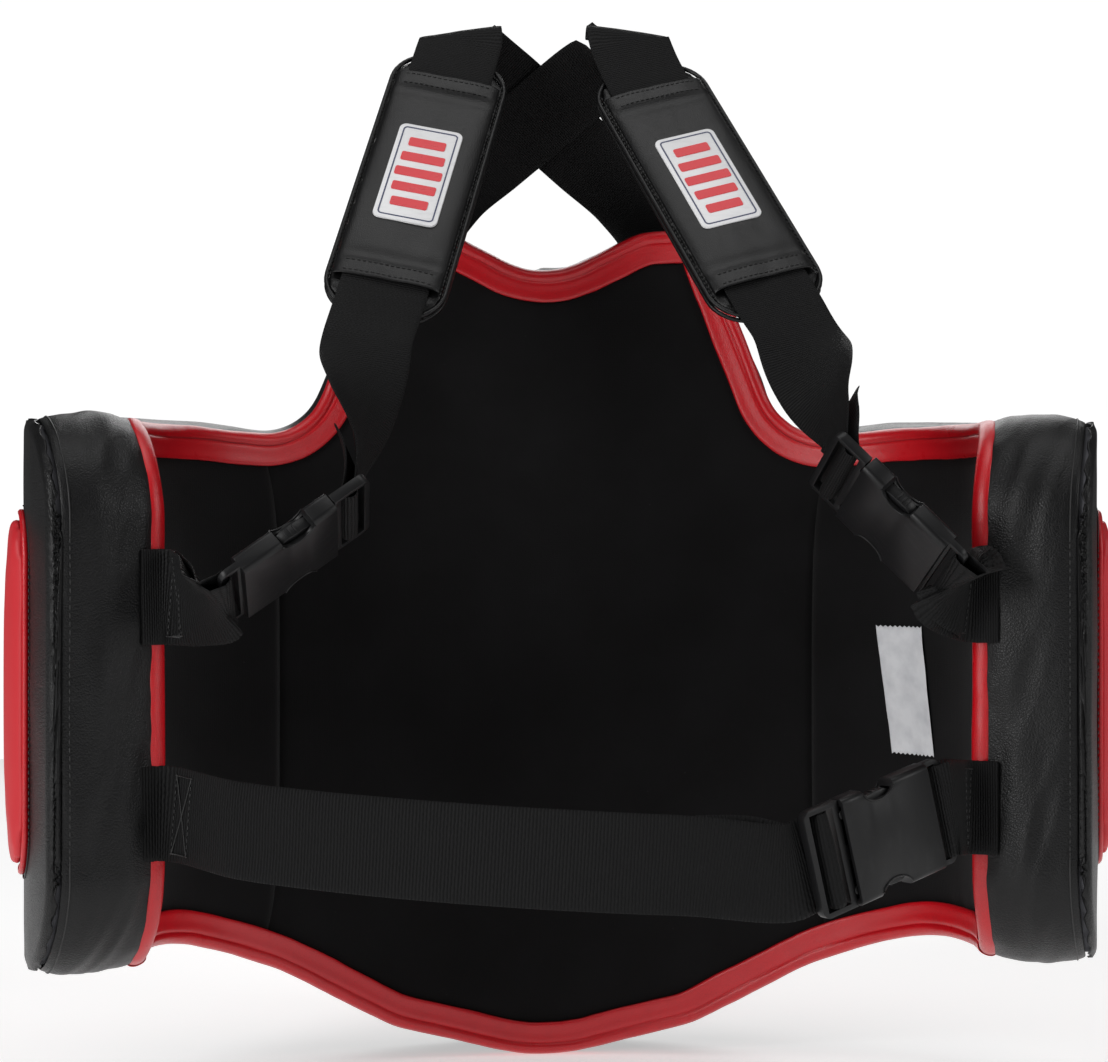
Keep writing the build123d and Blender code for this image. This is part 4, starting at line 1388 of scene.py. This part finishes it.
@dataclass
class Buckle:
    """A side-release buckle on its own axes, read from the record's joints."""

    name: str
    width_up: tuple[float, float, float]
    pivot_x: float = 0.0245
    housing: tuple[float, float] = (-0.0465, 0.0255)
    tail_slot: float = -0.0423
    slots: tuple[float, float, float, float] = (0.0305, 0.036, 0.0395, 0.046)
    width: float = 0.058
    thick: float = 0.012
    notch: tuple[float, float, float, float] = (0.0005, 0.030, 0.021, 0.016)
    edge: float = 0.0006

    def __post_init__(self) -> None:
        """Reads the buckle's place from its two prongs' hinges and its release."""
        upper, lower = (np.array(joint(f"{self.name}_{w}_prong_squeeze")["pos_m"]) for w in ("upper", "lower"))
        x = unit(np.array(joint(f"{self.name}_buckle_release")["axis"]))
        y = unit(upper - lower)
        y = y if y @ np.array(self.width_up) > 0 else -y
        self.axes = Axes((upper + lower) / 2 - x * self.pivot_x, x, y)
        self.bar_x = (self.slots[1] + self.slots[2]) / 2
        self.tail_bar_x = (self.housing[0] + self.tail_slot) / 2

    def _moulding(self, node: str, body: str, edge: float) -> bpy.types.Object:
        """A copy of a CAD moulding with its edges eased, as moulded ones are."""
        bm = bmesh.new()
        bm.from_mesh(frame["nodes"][node].data)
        bmesh.ops.remove_doubles(bm, verts=bm.verts, dist=2e-6)
        bmesh.ops.dissolve_limit(
            bm, angle_limit=math.radians(1.0), verts=bm.verts, edges=bm.edges, use_dissolve_boundaries=False
        )
        bmesh.ops.bevel(
            bm, geom=[e for e in bm.edges if len(e.link_faces) == 2 and e.calc_face_angle(0) > math.radians(40)],
            offset=edge, affect="EDGES", segments=2, profile=0.5, material=-1, clamp_overlap=True,
        )
        bmesh.ops.triangulate(bm, faces=[f for f in bm.faces if len(f.verts) > 4])
        return Piece(f"{node}_moulding", BUCKLE_PLASTIC, body, "buckle_plastic", (node,), sharp=35.0).make(bm)

    def build(self) -> None:
        """The four mouldings, with the rims round the notches and the prongs' grips."""
        male = f"{self.name}_male"
        self._moulding(f"{self.name}_buckle_housing", SHELL, self.edge)
        self._moulding(f"{self.name}_buckle_frame", male, self.edge)
        for which in ("upper", "lower"):
            self._moulding(f"{self.name}_buckle_{which}_prong", f"{self.name}_{which}_prong", 0.0004)
        self._rims()
        self._grips()

    def _rims(self) -> None:
        """The raised rims round the thumb notches, on both faces."""
        middle, across, length, deep = self.notch
        bm = bmesh.new()
        turns = np.linspace(math.pi, 2 * math.pi, 17)
        for side in (-1, 1):
            for face in (-1, 1):
                reach = self.width / 2 - 0.0035
                line = [(middle + (length / 2 + 0.0007) * math.cos(t), side * (across + (deep / 2 + 0.0006) * math.sin(t))) for t in turns]
                line = [p for p in line if abs(p[1]) < reach + 0.0028]
                path = self.axes.points(np.array([(x, y, face * (self.thick / 2 + 0.0001)) for x, y in line]))
                part = tube(resample(path, 0.0012), 0.00055, sides=8)
                merge(bm, part)
        Piece(f"{self.name}_notch_rims", BUCKLE_PLASTIC, SHELL, "buckle_plastic").make(bm)

    def _grips(self) -> None:
        """Three fine ribs on each prong's button, where the thumb presses."""
        first = unit(np.array(joint(f"{self.name}_upper_prong_squeeze")["pos_m"]) - self.axes.origin - self.axes.x * self.pivot_x)
        for which, sign in (("upper", 1.0), ("lower", -1.0)):
            side = sign * float(np.sign(first @ self.axes.y))
            bm = bmesh.new()
            for x in (-0.0040, -0.0010, 0.0020):
                centre = self.axes.point(x, side * 0.02545, 0.0)
                turn = self.axes.matrix()
                turn.translation = Vector(centre)
                size = Matrix.Diagonal((0.0011, 0.0009, 0.0054, 1.0))
                bmesh.ops.create_cube(bm, size=1.0, matrix=turn @ size)
            bmesh.ops.bevel(
                bm, geom=bm.edges[:], offset=0.00025, affect="EDGES", segments=2, profile=0.5, material=-1
            )
            Piece(
                f"{self.name}_{which}_grip_ribs", BUCKLE_PLASTIC, f"{self.name}_{which}_prong", "buckle_plastic"
            ).make(bm)


@dataclass
class ShoulderPad:
    """A sliding shoulder pad: piped base, sleeve over the strap and front patch."""

    name: str
    width: float = 0.070
    length: float = 0.208
    thick: float = 0.0088
    sleeve_half: float = 0.0316
    sleeve_length: float = 0.166
    web_half_thick: float = 0.00075
    patch: tuple[float, float] = (0.038, 0.076)
    corner: float = 0.024

    def __post_init__(self) -> None:
        """Reads the pad's place from the record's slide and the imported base."""
        up = unit(np.array(joint(f"{self.name}_shoulder_pad_slide")["axis"]))
        out = unit(np.array([0.0, -up[2], up[1]]))
        low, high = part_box(f"{self.name}_shoulder_pad_base")
        middle = np.array((low + high) / 2) + out * (self.thick / 2 + self.web_half_thick + 0.0005)
        self.axes = Axes(middle, np.cross(up, out), up)
        self.body = f"{self.name}_shoulder_pad"
        self.under = -(self.web_half_thick + 0.0005)

    def build(self) -> None:
        """All the pad's pieces."""
        self._base()
        self._piping()
        self._sleeve()
        self._patch()

    def _outline(self, grow: float) -> np.ndarray:
        """The rounded outline, grown by a margin, in the pad's own plane."""
        radius = self.corner + grow
        a, b = self.width / 2 + grow - radius, self.length / 2 + grow - radius
        turns = np.linspace(0, 2 * math.pi, 81)[:-1]
        corner = np.stack([np.cos(turns), np.sin(turns)], axis=1)
        line = corner * radius + np.sign(np.round(corner, 6)) * [a, b]
        return resample(np.concatenate([line, line[:1]]), 0.0035)

    def _base(self) -> None:
        """The base, swollen between its edges."""
        bm = bmesh.new()
        bmesh.ops.create_cube(bm, size=1.0)
        deep = self.thick - 0.0012
        bmesh.ops.scale(bm, verts=bm.verts, vec=(self.width - 0.001, self.length - 0.001, deep))
        bmesh.ops.bevel(
            bm, geom=[e for e in bm.edges if abs(e.verts[0].co.z - e.verts[1].co.z) > deep / 2],
            offset=self.corner - 0.0005, affect="EDGES", segments=8, profile=0.5, material=-1,
        )
        bmesh.ops.translate(bm, verts=bm.verts, vec=(0, 0, self.under - 0.0002 - self.thick / 2))
        bmesh.ops.transform(bm, matrix=self.axes.matrix(), verts=bm.verts)
        base = Piece(
            f"{self.name}_shoulder_pad_base_padding", SMOOTH_VINYL, self.body, "black_vinyl",
            (f"{self.name}_shoulder_pad_base", f"{self.name}_shoulder_pad_foam"),
        ).make(bm)
        origin, z = Vector(self.axes.origin), Vector(self.axes.z)
        puff(base, lambda p: (p - origin).dot(z) > self.under - 0.0012, 0.004, 4.0, 0.0030)

    def _piping(self) -> None:
        """The double piping round the pad's edge."""
        bm = bmesh.new()
        for grow, level, radius in ((-0.0006, -0.0020, 0.0014), (-0.0006, -0.0066, 0.0013)):
            line = self._outline(grow)[:-1]
            path = self.axes.points(np.concatenate([line, np.full((len(line), 1), self.under + level)], axis=1))
            part = tube(path, radius, closed=True)
            merge(bm, part)
        Piece(f"{self.name}_shoulder_pad_piping", SMOOTH_VINYL, self.body, "black_vinyl").make(bm)

    def _sleeve_height(self, across: np.ndarray, along: np.ndarray) -> np.ndarray:
        """The sleeve's height over the pad's plane: crowned over the strap, with folds."""
        side = np.clip(np.abs(across) / self.sleeve_half, 0, 1)
        rise = (1 - side**5) ** 0.5
        top = self.web_half_thick + 0.0019
        folds = np.array([
            [
                0.0006 * ripple(a * 34, b * 20, 3.3 + len(self.name)) + 0.0004 * ripple(a * 110, b * 45, 8.1)
                for a, b in zip(row_a, row_b)
            ]
            for row_a, row_b in zip(across, along)
        ])
        pulled = 0.0007 * np.exp(-(((np.abs(along) - 0.066) / 0.004) ** 2))
        hem = 0.0007 * (np.abs(along) > self.sleeve_length / 2 - 0.0125)
        return self.under + 0.0001 + (top - self.under) * rise + (folds - pulled + hem) * rise

    def _sleeve(self) -> None:
        """The sleeve, its turned hems and their double rows of stitches."""
        side = np.sin(np.linspace(-math.pi / 2, math.pi / 2, 31))
        along = np.linspace(-self.sleeve_length / 2, self.sleeve_length / 2, 76)
        across, lengths = np.meshgrid(side * self.sleeve_half, along)
        height = self._sleeve_height(across, lengths)
        points = self.axes.points(np.stack([across, lengths, height], axis=-1))
        bm = grid(points)
        face_away(bm, points[38, 15], -self.axes.z)
        sleeve = Piece(
            f"{self.name}_shoulder_pad_sleeve_skin", SMOOTH_VINYL, self.body, "black_vinyl",
            (f"{self.name}_shoulder_pad_sleeve",), smooth=1, skin=0.0008,
        ).make(bm)
        thread = Stitching(pitch=0.0032, length=0.0026, radius=0.00036)
        for end in (-1, 1):
            for back in (0.0030, 0.0105):
                y = end * (self.sleeve_length / 2 - back)
                x = np.linspace(-0.026, 0.026, 24)[None, :]
                rows = self._sleeve_height(x, np.full_like(x, y)) + 0.0002
                path = self.axes.points(np.stack([x, np.full_like(x, y), rows], axis=-1))[0]
                thread.sew(path, np.tile(self.axes.z, (len(path), 1)))
        for sign in (-1, 1):
            for reach, level in ((0.0320, -0.0004), (0.0332, -0.0012)):
                y = np.linspace(-0.087, 0.087, 66)
                height = np.full_like(y, self.under + level + 0.0006)
                local = np.stack([np.full_like(y, sign * reach), y, height], axis=-1)
                thread.sew(self.axes.points(local), np.tile(self.axes.z, (len(y), 1)))
        Piece(f"{self.name}_shoulder_pad_stitches", BLACK_THREAD, self.body, "black_vinyl").make(thread.bm)

    def _plate(self, size: tuple[float, float], corner: float, low: float, high: float) -> bmesh.types.BMesh:
        """A thin rounded plate on the pad's own axes."""
        bm = bmesh.new()
        bmesh.ops.create_cube(bm, size=1.0)
        bmesh.ops.scale(bm, verts=bm.verts, vec=(size[0], size[1], high - low))
        bmesh.ops.translate(bm, verts=bm.verts, vec=(0, 0, (high + low) / 2))
        if corner > 0:
            bmesh.ops.bevel(
                bm, geom=[e for e in bm.edges if abs(e.verts[0].co.z - e.verts[1].co.z) > (high - low) / 2],
                offset=corner, affect="EDGES", segments=6, profile=0.5, material=-1,
            )
        return bm

    def _patch(self) -> None:
        """The white patch with a navy line near its edge and plain red bars."""
        low = self.web_half_thick + 0.0020
        top = low + 0.0011
        bm = self._plate(self.patch, 0.0042, low - 0.0006, top)
        rim = [e for e in bm.edges if all(v.co.z > top - 1e-5 for v in e.verts) and len(e.link_faces) == 2]
        bmesh.ops.bevel(bm, geom=rim, offset=0.0004, affect="EDGES", segments=2, profile=0.5, material=-1)
        bmesh.ops.transform(bm, matrix=self.axes.matrix(), verts=bm.verts)
        Piece(
            f"{self.name}_shoulder_patch_plate", PATCH_WHITE, self.body, "patch_white",
            (f"{self.name}_shoulder_pad_patch",),
        ).make(bm)
        line = self._plate((self.patch[0] - 0.0050, self.patch[1] - 0.0050), 0.0026, top - 0.0002, top + 0.0002)
        face = max(line.faces, key=lambda f: f.calc_center_median().z)
        under = min(line.faces, key=lambda f: f.calc_center_median().z)
        bmesh.ops.inset_region(line, faces=[face, under], thickness=0.0008, use_even_offset=True)
        bmesh.ops.delete(line, geom=[face, under], context="FACES")
        open_edges = [e for e in line.edges if e.is_boundary]
        bmesh.ops.bridge_loops(line, edges=open_edges)
        bmesh.ops.recalc_face_normals(line, faces=line.faces)
        bmesh.ops.transform(line, matrix=self.axes.matrix(), verts=line.verts)
        Piece(f"{self.name}_shoulder_patch_line", PATCH_NAVY, self.body, "patch_white").make(line)
        bars = bmesh.new()
        for place, wide in ((-0.024, 0.022), (-0.012, 0.026), (0.0, 0.028), (0.012, 0.026), (0.024, 0.022)):
            matrix = Matrix.Translation((0, place, top + 0.0001)) @ Matrix.Diagonal((wide, 0.0066, 0.0006, 1.0))
            bmesh.ops.create_cube(bars, size=1.0, matrix=matrix)
        upright = [e for e in bars.edges if abs(e.verts[0].co.z - e.verts[1].co.z) > 0.0003]
        bmesh.ops.bevel(bars, geom=upright, offset=0.0012, affect="EDGES", segments=4, profile=0.5, material=-1)
        bmesh.ops.transform(bars, matrix=self.axes.matrix(), verts=bars.verts)
        Piece(f"{self.name}_shoulder_patch_bars", PATCH_RED, self.body, "patch_white").make(bars)


class Side(Enum):
    """Which side of the wearer a thing is on, with its sign along X."""

    LEFT = -1
    RIGHT = 1


@dataclass
class Straps:
    """All the webbing: two shoulder straps, the waist belt and three tabs."""

    wall: Wall
    pads: dict[str, ShoulderPad]
    buckles: dict[str, Buckle]
    half: float = 0.0254
    loop_radius: float = 0.0040
    loop_steps: int = 8
    fold_radius: float = 0.010
    fold_turns: tuple = (20, 45, 75, 105, 135, 158)
    folds: dict = field(default_factory=lambda: {
        "left": ((-0.053, 0.142, 0.296), (0.029, 0, 0.005), 0.0022),
        "right": ((0.050, 0.142, 0.298), (0.029, 0, -0.004), -0.0022),
    })
    anchor_x: float = 0.080
    anchor_z: tuple[float, float] = (0.142, 0.184)
    rise_from: tuple[float, float, float] = (0.058, 0.203, 0.214)
    lean: tuple[float, float] = (0.65, -0.76)
    strap_steps: tuple = (0.009, 0.026)
    tail_shares: tuple = (0.35,)
    tail_beside: tuple = (-0.001, 0.0042, 0.0)
    belt_tail: tuple = ((0.082, -0.171), (0.056, -0.170))
    pad_travel: float = 0.024
    sewn_depths: tuple = (0.013, -0.002)
    sewn_proud: float = 0.0032
    tab_z: dict = field(default_factory=lambda: {
        "left_shoulder": -0.035, "right_shoulder": -0.035, "waist": -0.150,
    })
    belt_sag: float = 0.088
    belt_chord: float = 0.222
    belt_run: tuple = (
        (-0.180, -0.155), (-0.140, -0.158), (-0.090, -0.161), (-0.040, -0.164), (0.010, -0.167), (0.055, -0.170),
    )

    def build(self) -> None:
        """All the straps, their box stitches and the anchor patches."""
        thread = Stitching(pitch=0.0034, length=0.0028, radius=0.00042)
        for side in Side:
            self._shoulder(side, thread)
        self._belt(thread)
        for name in self.buckles:
            self._tab(name, thread)
        Piece("strap_stitches", BLACK_THREAD, SHELL, "webbing").make(thread.bm)
        self._anchors()

    def _loop(self, buckle: Buckle, x: float, start: float, stop: float) -> list[np.ndarray]:
        """The webbing's turn round one of a buckle's bars."""
        turns = [math.radians(start + (stop - start) * k / self.loop_steps) for k in range(self.loop_steps + 1)]
        return [
            buckle.axes.point(x + self.loop_radius * math.cos(t), 0, self.loop_radius * math.sin(t)) for t in turns
        ]

    def _shoulder(self, side: Side, thread: Stitching) -> None:
        """One shoulder strap, from its sewn end to its free tail."""
        name, sign = side.name.lower(), side.value
        fold, fold_half, behind = (np.array(v) for v in self.folds[name])
        pad, buckle = self.pads[name], self.buckles[f"{name}_shoulder"]
        face = self.wall.front_radius + self.wall.thickness
        turn = math.asin(self.anchor_x / face)
        tangent = np.array([math.cos(turn), sign * math.sin(turn), 0]) * self.half
        x, y = self.wall.at(np.array(turn), np.array(0.0), np.array(self.wall.thickness + 0.0015))[:2]
        stations = [(np.array([-sign * x, y, z]), tangent) for z in self.anchor_z]
        foot = np.array([-sign * self.rise_from[0], self.rise_from[1] + behind, self.rise_from[2]])
        over = [
            fold + [0, self.fold_radius * math.cos(math.radians(t)), self.fold_radius * math.sin(math.radians(t))]
            for t in self.fold_turns
        ]
        reach = over[0] + [0, float(behind), 0] - foot
        rise = unit(reach)
        across = np.cross(rise, unit(np.array([0, rise[2], -rise[1]]))) * sign * self.half
        stations += [(foot + reach * part, across) for part in (0.0, 0.25, 0.50, 0.72)]
        stations += [(p, unit(fold_half) * self.half) for p in over]
        edge = pad.length / 2
        stations += [(pad.axes.point(0, edge - 0.004, 0), pad.axes.x * self.half)]
        stations += [(pad.axes.point(0, k, 0), pad.axes.x * self.half) for k in (0.05, 0.0, -0.05, -edge)]
        stations += [(pad.axes.point(0, -edge - self.pad_travel, 0), pad.axes.x * self.half)]
        run = unit(np.array([self.lean[0], self.lean[1]]))
        bar, radius = buckle.bar_x, self.loop_radius
        half = -buckle.axes.y * self.half
        arrive = [buckle.axes.point(bar + radius + run[0] * s, 0, run[1] * s) for s in self.strap_steps[::-1]]
        tail = [buckle.axes.point(bar - radius, 0, -0.0018)]
        tail += [buckle.axes.point(bar - radius + run[0] * s, 0, run[1] * s) for s in self.strap_steps]
        last = stations[-1]
        turned = unit(last[1] + half) * self.half
        halfway = (last[0] + arrive[0]) / 2
        stations += [(halfway, turned)]
        stations += [(p, half) for p in arrive + self._loop(buckle, bar, 0, 180) + tail]
        for share in self.tail_shares:
            place = arrive[0] + (halfway - arrive[0]) * share + tail[-1] - arrive[0]
            stations += [(place, unit(half * (1 - share) + turned * share) * self.half)]
        strip = Strip(stations, wave=0.0007, step=0.0035, seed=4.0 + sign)
        Piece(
            f"{name}_shoulder_webbing", STRAP_WEBBING, SHELL, "webbing", (f"{name}_shoulder_strap",),
            bend=(f"{name}_shoulder_male", tuple(last[0]), tuple(tail[-1])),
        ).make(strip.build())

    def _edge_point(self, sign: int, depth: float, proud: float, height: float) -> np.ndarray:
        """A point off the end of a wing."""
        angle = np.array(sign * self.wall.end_angle)
        x, y, z = self.wall.at(angle, np.array(height), np.array(depth))
        turn = self.wall.end_angle
        return np.array([x + sign * proud * math.cos(turn), y - proud * math.sin(turn), z])

    def _belt_point(self, x: float, z: float) -> np.ndarray:
        """A point of the belt's arc behind the wearer's back."""
        radius = (self.belt_chord**2 + self.belt_sag**2) / (2 * self.belt_sag)
        middle = self.wall.wing_end_y - 0.002 + radius - self.belt_sag
        return np.array([x, middle - math.sqrt(radius**2 - x * x), z])

    def _belt(self, thread: Stitching) -> None:
        """The elastic belt from its sewn end to its tail behind the buckle."""
        buckle = self.buckles["waist"]
        half = buckle.axes.y * self.half * (1 if buckle.axes.y[2] > 0 else -1)
        level = np.array([0, 0, self.half])
        stations = [(self._edge_point(-1, d, self.sewn_proud, self.tab_z["waist"]), level) for d in self.sewn_depths]
        stations += [(self._belt_point(x, z), level) for x, z in self.belt_run]
        near = [(0.060, -0.0044), (0.047, -0.0044), (0.0428, -0.0028)]
        away = [(0.0346, -0.0040), (0.039, -0.0072), (0.060, -0.0076)]
        points = [buckle.axes.point(x, 0, z) for x, z in near] + self._loop(buckle, buckle.bar_x, 0, 180)
        points += [buckle.axes.point(x, 0, z) for x, z in away]
        stations += [(p, half) for p in points]
        stations += [(self._belt_point(x, z) + self.tail_beside, level) for x, z in self.belt_tail]
        strip = Strip(stations, thick=0.0016, wave=0.0008, seed=2.0)
        strip.box_stitch(thread, 0.020, 0.031, 0.0002)
        strip.box_stitch(thread, 0.020, 0.031, -0.0002)
        Piece(
            "waist_elastic", BELT_ELASTIC, SHELL, "elastic", ("waist_belt",),
            bend=("waist_male", tuple(self._belt_point(-0.060, -0.163)), tuple(points[0])),
        ).make(strip.build())

    def _tab(self, name: str, thread: Stitching) -> None:
        """One tab, doubled round its buckle's tail bar and sewn to the wing's edge."""
        buckle, height = self.buckles[name], self.tab_z[name]
        sign = -1 if name.startswith("left") else 1
        half = buckle.axes.y * self.half * (1 if buckle.axes.y[2] > 0 else -1)
        level = np.array([0, 0, self.half])
        between = unit(level + half) * self.half
        under = [self._edge_point(sign, d, self.sewn_proud, height) for d in self.sewn_depths]
        over = [self._edge_point(sign, d, self.sewn_proud + 0.002, height) for d in self.sewn_depths]
        mouth = buckle.housing[0] - 0.002
        arrive = buckle.axes.point(mouth, 0, -self.loop_radius)
        leave = buckle.axes.point(mouth, 0, self.loop_radius)
        stations = [(p, level) for p in under] + [(under[-1] * 0.5 + arrive * 0.5, between), (arrive, half)]
        stations += [(p, half) for p in self._loop(buckle, buckle.tail_bar_x, -80, 80)]
        stations += [(leave, half), (over[-1] * 0.5 + leave * 0.5, between)]
        stations += [(p, level) for p in reversed(over)]
        strip = Strip(stations, wave=0.0005, step=0.003, seed=6.0 + len(name))
        strip.box_stitch(thread, 0.017, 0.023, 0.0002, cross=False)
        strip.box_stitch(thread, strip.along[-1] - 0.023, strip.along[-1] - 0.017, 0.0002, cross=False)
        strip.box_stitch(thread, strip.along[-1] - 0.023, strip.along[-1] - 0.017, -0.0002, cross=False)
        Piece(f"{name}_webbing_tab", STRAP_WEBBING, SHELL, "webbing", (f"{name}_tab",)).make(strip.build())

    def _anchors(self) -> None:
        """The two vinyl patches sewn over the shoulder straps' ends."""
        bm = bmesh.new()
        face = self.wall.thickness
        middle = self.wall.arc(np.array(math.asin(self.anchor_x / (self.wall.front_radius + face))), np.array(face))
        thread = Stitching()
        for side in Side:
            across, tall = np.meshgrid(np.linspace(-0.031, 0.031, 26), np.linspace(0, 1, 22))
            reach = np.minimum(1 - np.abs(across) / 0.031, np.minimum(tall, 1 - tall) * 1.4)
            rise = 0.0037 * np.minimum(1.0, reach / 0.12) ** 0.5
            points = self.wall.place(side.value * (float(middle) + across), 0.133 + 0.042 * tall, face + 0.0007 + rise)
            part = grid(points)
            face_away(part, points[11, 13], -self.wall.out(np.array([side.value * float(middle)]), face)[0])
            merge(bm, part)
            frame_line = np.array([
                (-0.026, 0.137), (0.026, 0.137), (0.026, 0.171), (-0.026, 0.171), (-0.026, 0.137),
            ])
            lengths = side.value * (float(middle) + frame_line[:, 0])
            rows = self.wall.place(lengths, frame_line[:, 1], np.full(5, face + 0.0048))
            thread.sew(rows, self.wall.out(lengths, face))
        Piece(
            "strap_anchor_vinyl", SMOOTH_VINYL, SHELL, "black_vinyl", ("strap_anchor_patches",), smooth=1, skin=0.0008
        ).make(bm)
        Piece("anchor_stitches", BLACK_THREAD, SHELL, "black_vinyl").make(thread.bm)


@dataclass
class CareLabel:
    """A blank satin label sewn to the right lining panel by its top edge."""

    wall: Wall
    angles: tuple[float, float] = (math.radians(46.0), math.radians(63.5))
    low: float = -0.133
    high: float = -0.058
    tilt: float = 0.013

    def build(self) -> None:
        """The label, with pinked ends and a little curl."""
        start, stop = (float(self.wall.arc(np.array(a), np.array(0.0))) for a in self.angles)
        across, tall = np.meshgrid(np.linspace(0, 1, 41), np.linspace(0, 1, 40))
        teeth = 0.0011 * np.abs((across * 10) % 1 - 0.5) * 2
        height = self.low + (self.high - self.low) * tall + teeth * np.where(tall > 0.9, 1, 0) * (tall - 0.9) * 10
        height = height - teeth * np.where(tall < 0.1, 1, 0) * (0.1 - tall) * 10
        curl = np.array([[ripple(a * 2.2, b * 4.0, 5.0) for a, b in zip(u, v)] for u, v in zip(across, tall)])
        depth = -0.0034 - (0.0010 + 0.0010 * curl) * (1 - tall) ** 0.6 - 0.0004 * curl
        lengths = start + (stop - start) * across - self.tilt * (tall - 0.5)
        points = self.wall.at(self.wall.angle(lengths, np.array(0.0)), height, depth)
        size = (stop - start, self.high - self.low)
        uv = np.stack([across * size[0], tall * size[1]], axis=-1)
        bm = grid(points, uv=uv)
        face_away(bm, points[20, 20], self.wall.out(lengths[20, 20:21], 0.0)[0])
        Piece("care_label_ribbon", LABEL_SATIN, SHELL, "label_satin", ("care_label",), skin=0.0002).make(bm)


# ---------------------------------------------------------------- stage


@dataclass
class Studio:
    """The floor, the lights and the camera."""

    low: float
    target: tuple[float, float, float] = (-0.006, 0.0, 0.0)
    distance: float = 1.460
    azimuth: float = math.radians(-4.3)
    lens: float = 84.6
    fill: float = 0.08
    shown: float = 1.02

    def build(self) -> None:
        """Everything round the object."""
        self._floor()
        self._world()
        self._lights()
        self._camera()

    def _floor(self) -> None:
        """A wide pale floor under the object."""
        bm = bmesh.new()
        bmesh.ops.create_circle(bm, cap_ends=True, segments=96, radius=2.4)
        bmesh.ops.translate(bm, verts=bm.verts, vec=(0, 0, self.low - 0.001))
        mesh = bpy.data.meshes.new("floor")
        bm.to_mesh(mesh)
        bm.free()
        mesh.materials.append(PALE_FLOOR.material())
        floor = bpy.data.objects.new("floor", mesh)
        bpy.context.scene.collection.objects.link(floor)
        floor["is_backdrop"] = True

    def _world(self) -> None:
        """An even pale surrounding, dimmer as a light than as a backdrop."""
        bpy.context.scene.view_settings.view_transform = "Standard"
        world = bpy.data.worlds.new("studio")
        bpy.context.scene.world = world
        world.use_nodes = True
        g = Graph(world.node_tree)
        background = world.node_tree.nodes["Background"]
        seen = g.add("LightPath").outputs["Is Camera Ray"]
        strength = g.math("ADD", self.fill, g.math("MULTIPLY", seen, self.shown - self.fill))
        background.inputs["Color"].default_value = (1.0, 1.0, 1.0, 1.0)
        world.node_tree.links.new(strength, background.inputs["Strength"])

    def _lights(self) -> None:
        """Large soft boxes: left and right of the camera, above, and behind."""
        boxes = [
            ("left_box", (-1.9, -1.5, 0.75), (0.9, 1.5), 34.0), ("right_box", (2.1, -1.2, 0.9), (0.8, 1.4), 15.0),
            ("top_box", (0.0, -0.3, 2.2), (1.8, 1.4), 16.0), ("front_box", (0.3, 2.2, 1.2), (1.6, 1.2), 16.0),
        ]
        for name, place, size, power in boxes:
            light = bpy.data.lights.new(name, "AREA")
            light.shape, light.size, light.size_y, light.energy = "RECTANGLE", size[0], size[1], power
            made = bpy.data.objects.new(name, light)
            made.location = place
            made.rotation_euler = (Vector(self.target) - Vector(place)).to_track_quat("-Z", "Y").to_euler()
            bpy.context.scene.collection.objects.link(made)

    def _camera(self) -> None:
        """The camera, level with the middle of the chest and a little to the left."""
        camera = bpy.data.cameras.new("camera")
        camera.lens = self.lens
        made = bpy.data.objects.new("camera", camera)
        back = Vector((math.sin(self.azimuth), -math.cos(self.azimuth), 0.0))
        made.location = Vector(self.target) + back * self.distance
        made.rotation_euler = (-back).to_track_quat("-Z", "Y").to_euler()
        bpy.context.scene.collection.objects.link(made)
        bpy.context.scene.camera = made


def main() -> None:
    """Builds the protector's looks on its frame, and the studio round it."""
    logging.basicConfig(level=logging.INFO, format="%(asctime)s %(name)s %(message)s")
    cad_low, cad_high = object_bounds()
    for name in ("comfort_foam", "impact_foam_front", "impact_foam_left", "impact_foam_right"):
        mesh = frame["nodes"][name].data
        mesh.materials.clear()
        mesh.materials.append(FOAM.material())
    wall = Wall()
    skins = EdgeSkins(wall)
    skins.build_gussets()
    skins.build_bindings()
    skins.build_stitches()
    panels = Panels(wall)
    panels.build_lining()
    panels.build_covers()
    strike_pads = {"belly_pad": (-42.0, 42.0), "right_rib_pad": (60.0, 106.0), "left_rib_pad": (-106.0, -60.0)}
    for name, angles in strike_pads.items():
        StrikePad(wall, name, angles).build()
    buckles = {
        "left_shoulder": Buckle("left_shoulder", (0.0, -0.89, 0.45)),
        "right_shoulder": Buckle("right_shoulder", (-0.10, 0.89, -0.44)),
        "waist": Buckle("waist", (0.0, 0.0, -1.0)),
    }
    for buckle in buckles.values():
        buckle.build()
    pads = {side.name.lower(): ShoulderPad(side.name.lower()) for side in Side}
    for pad in pads.values():
        pad.build()
    Straps(wall, pads, buckles).build()
    CareLabel(wall).build()
    Studio(cad_low.z).build()


if __name__ == "__main__":
    main()
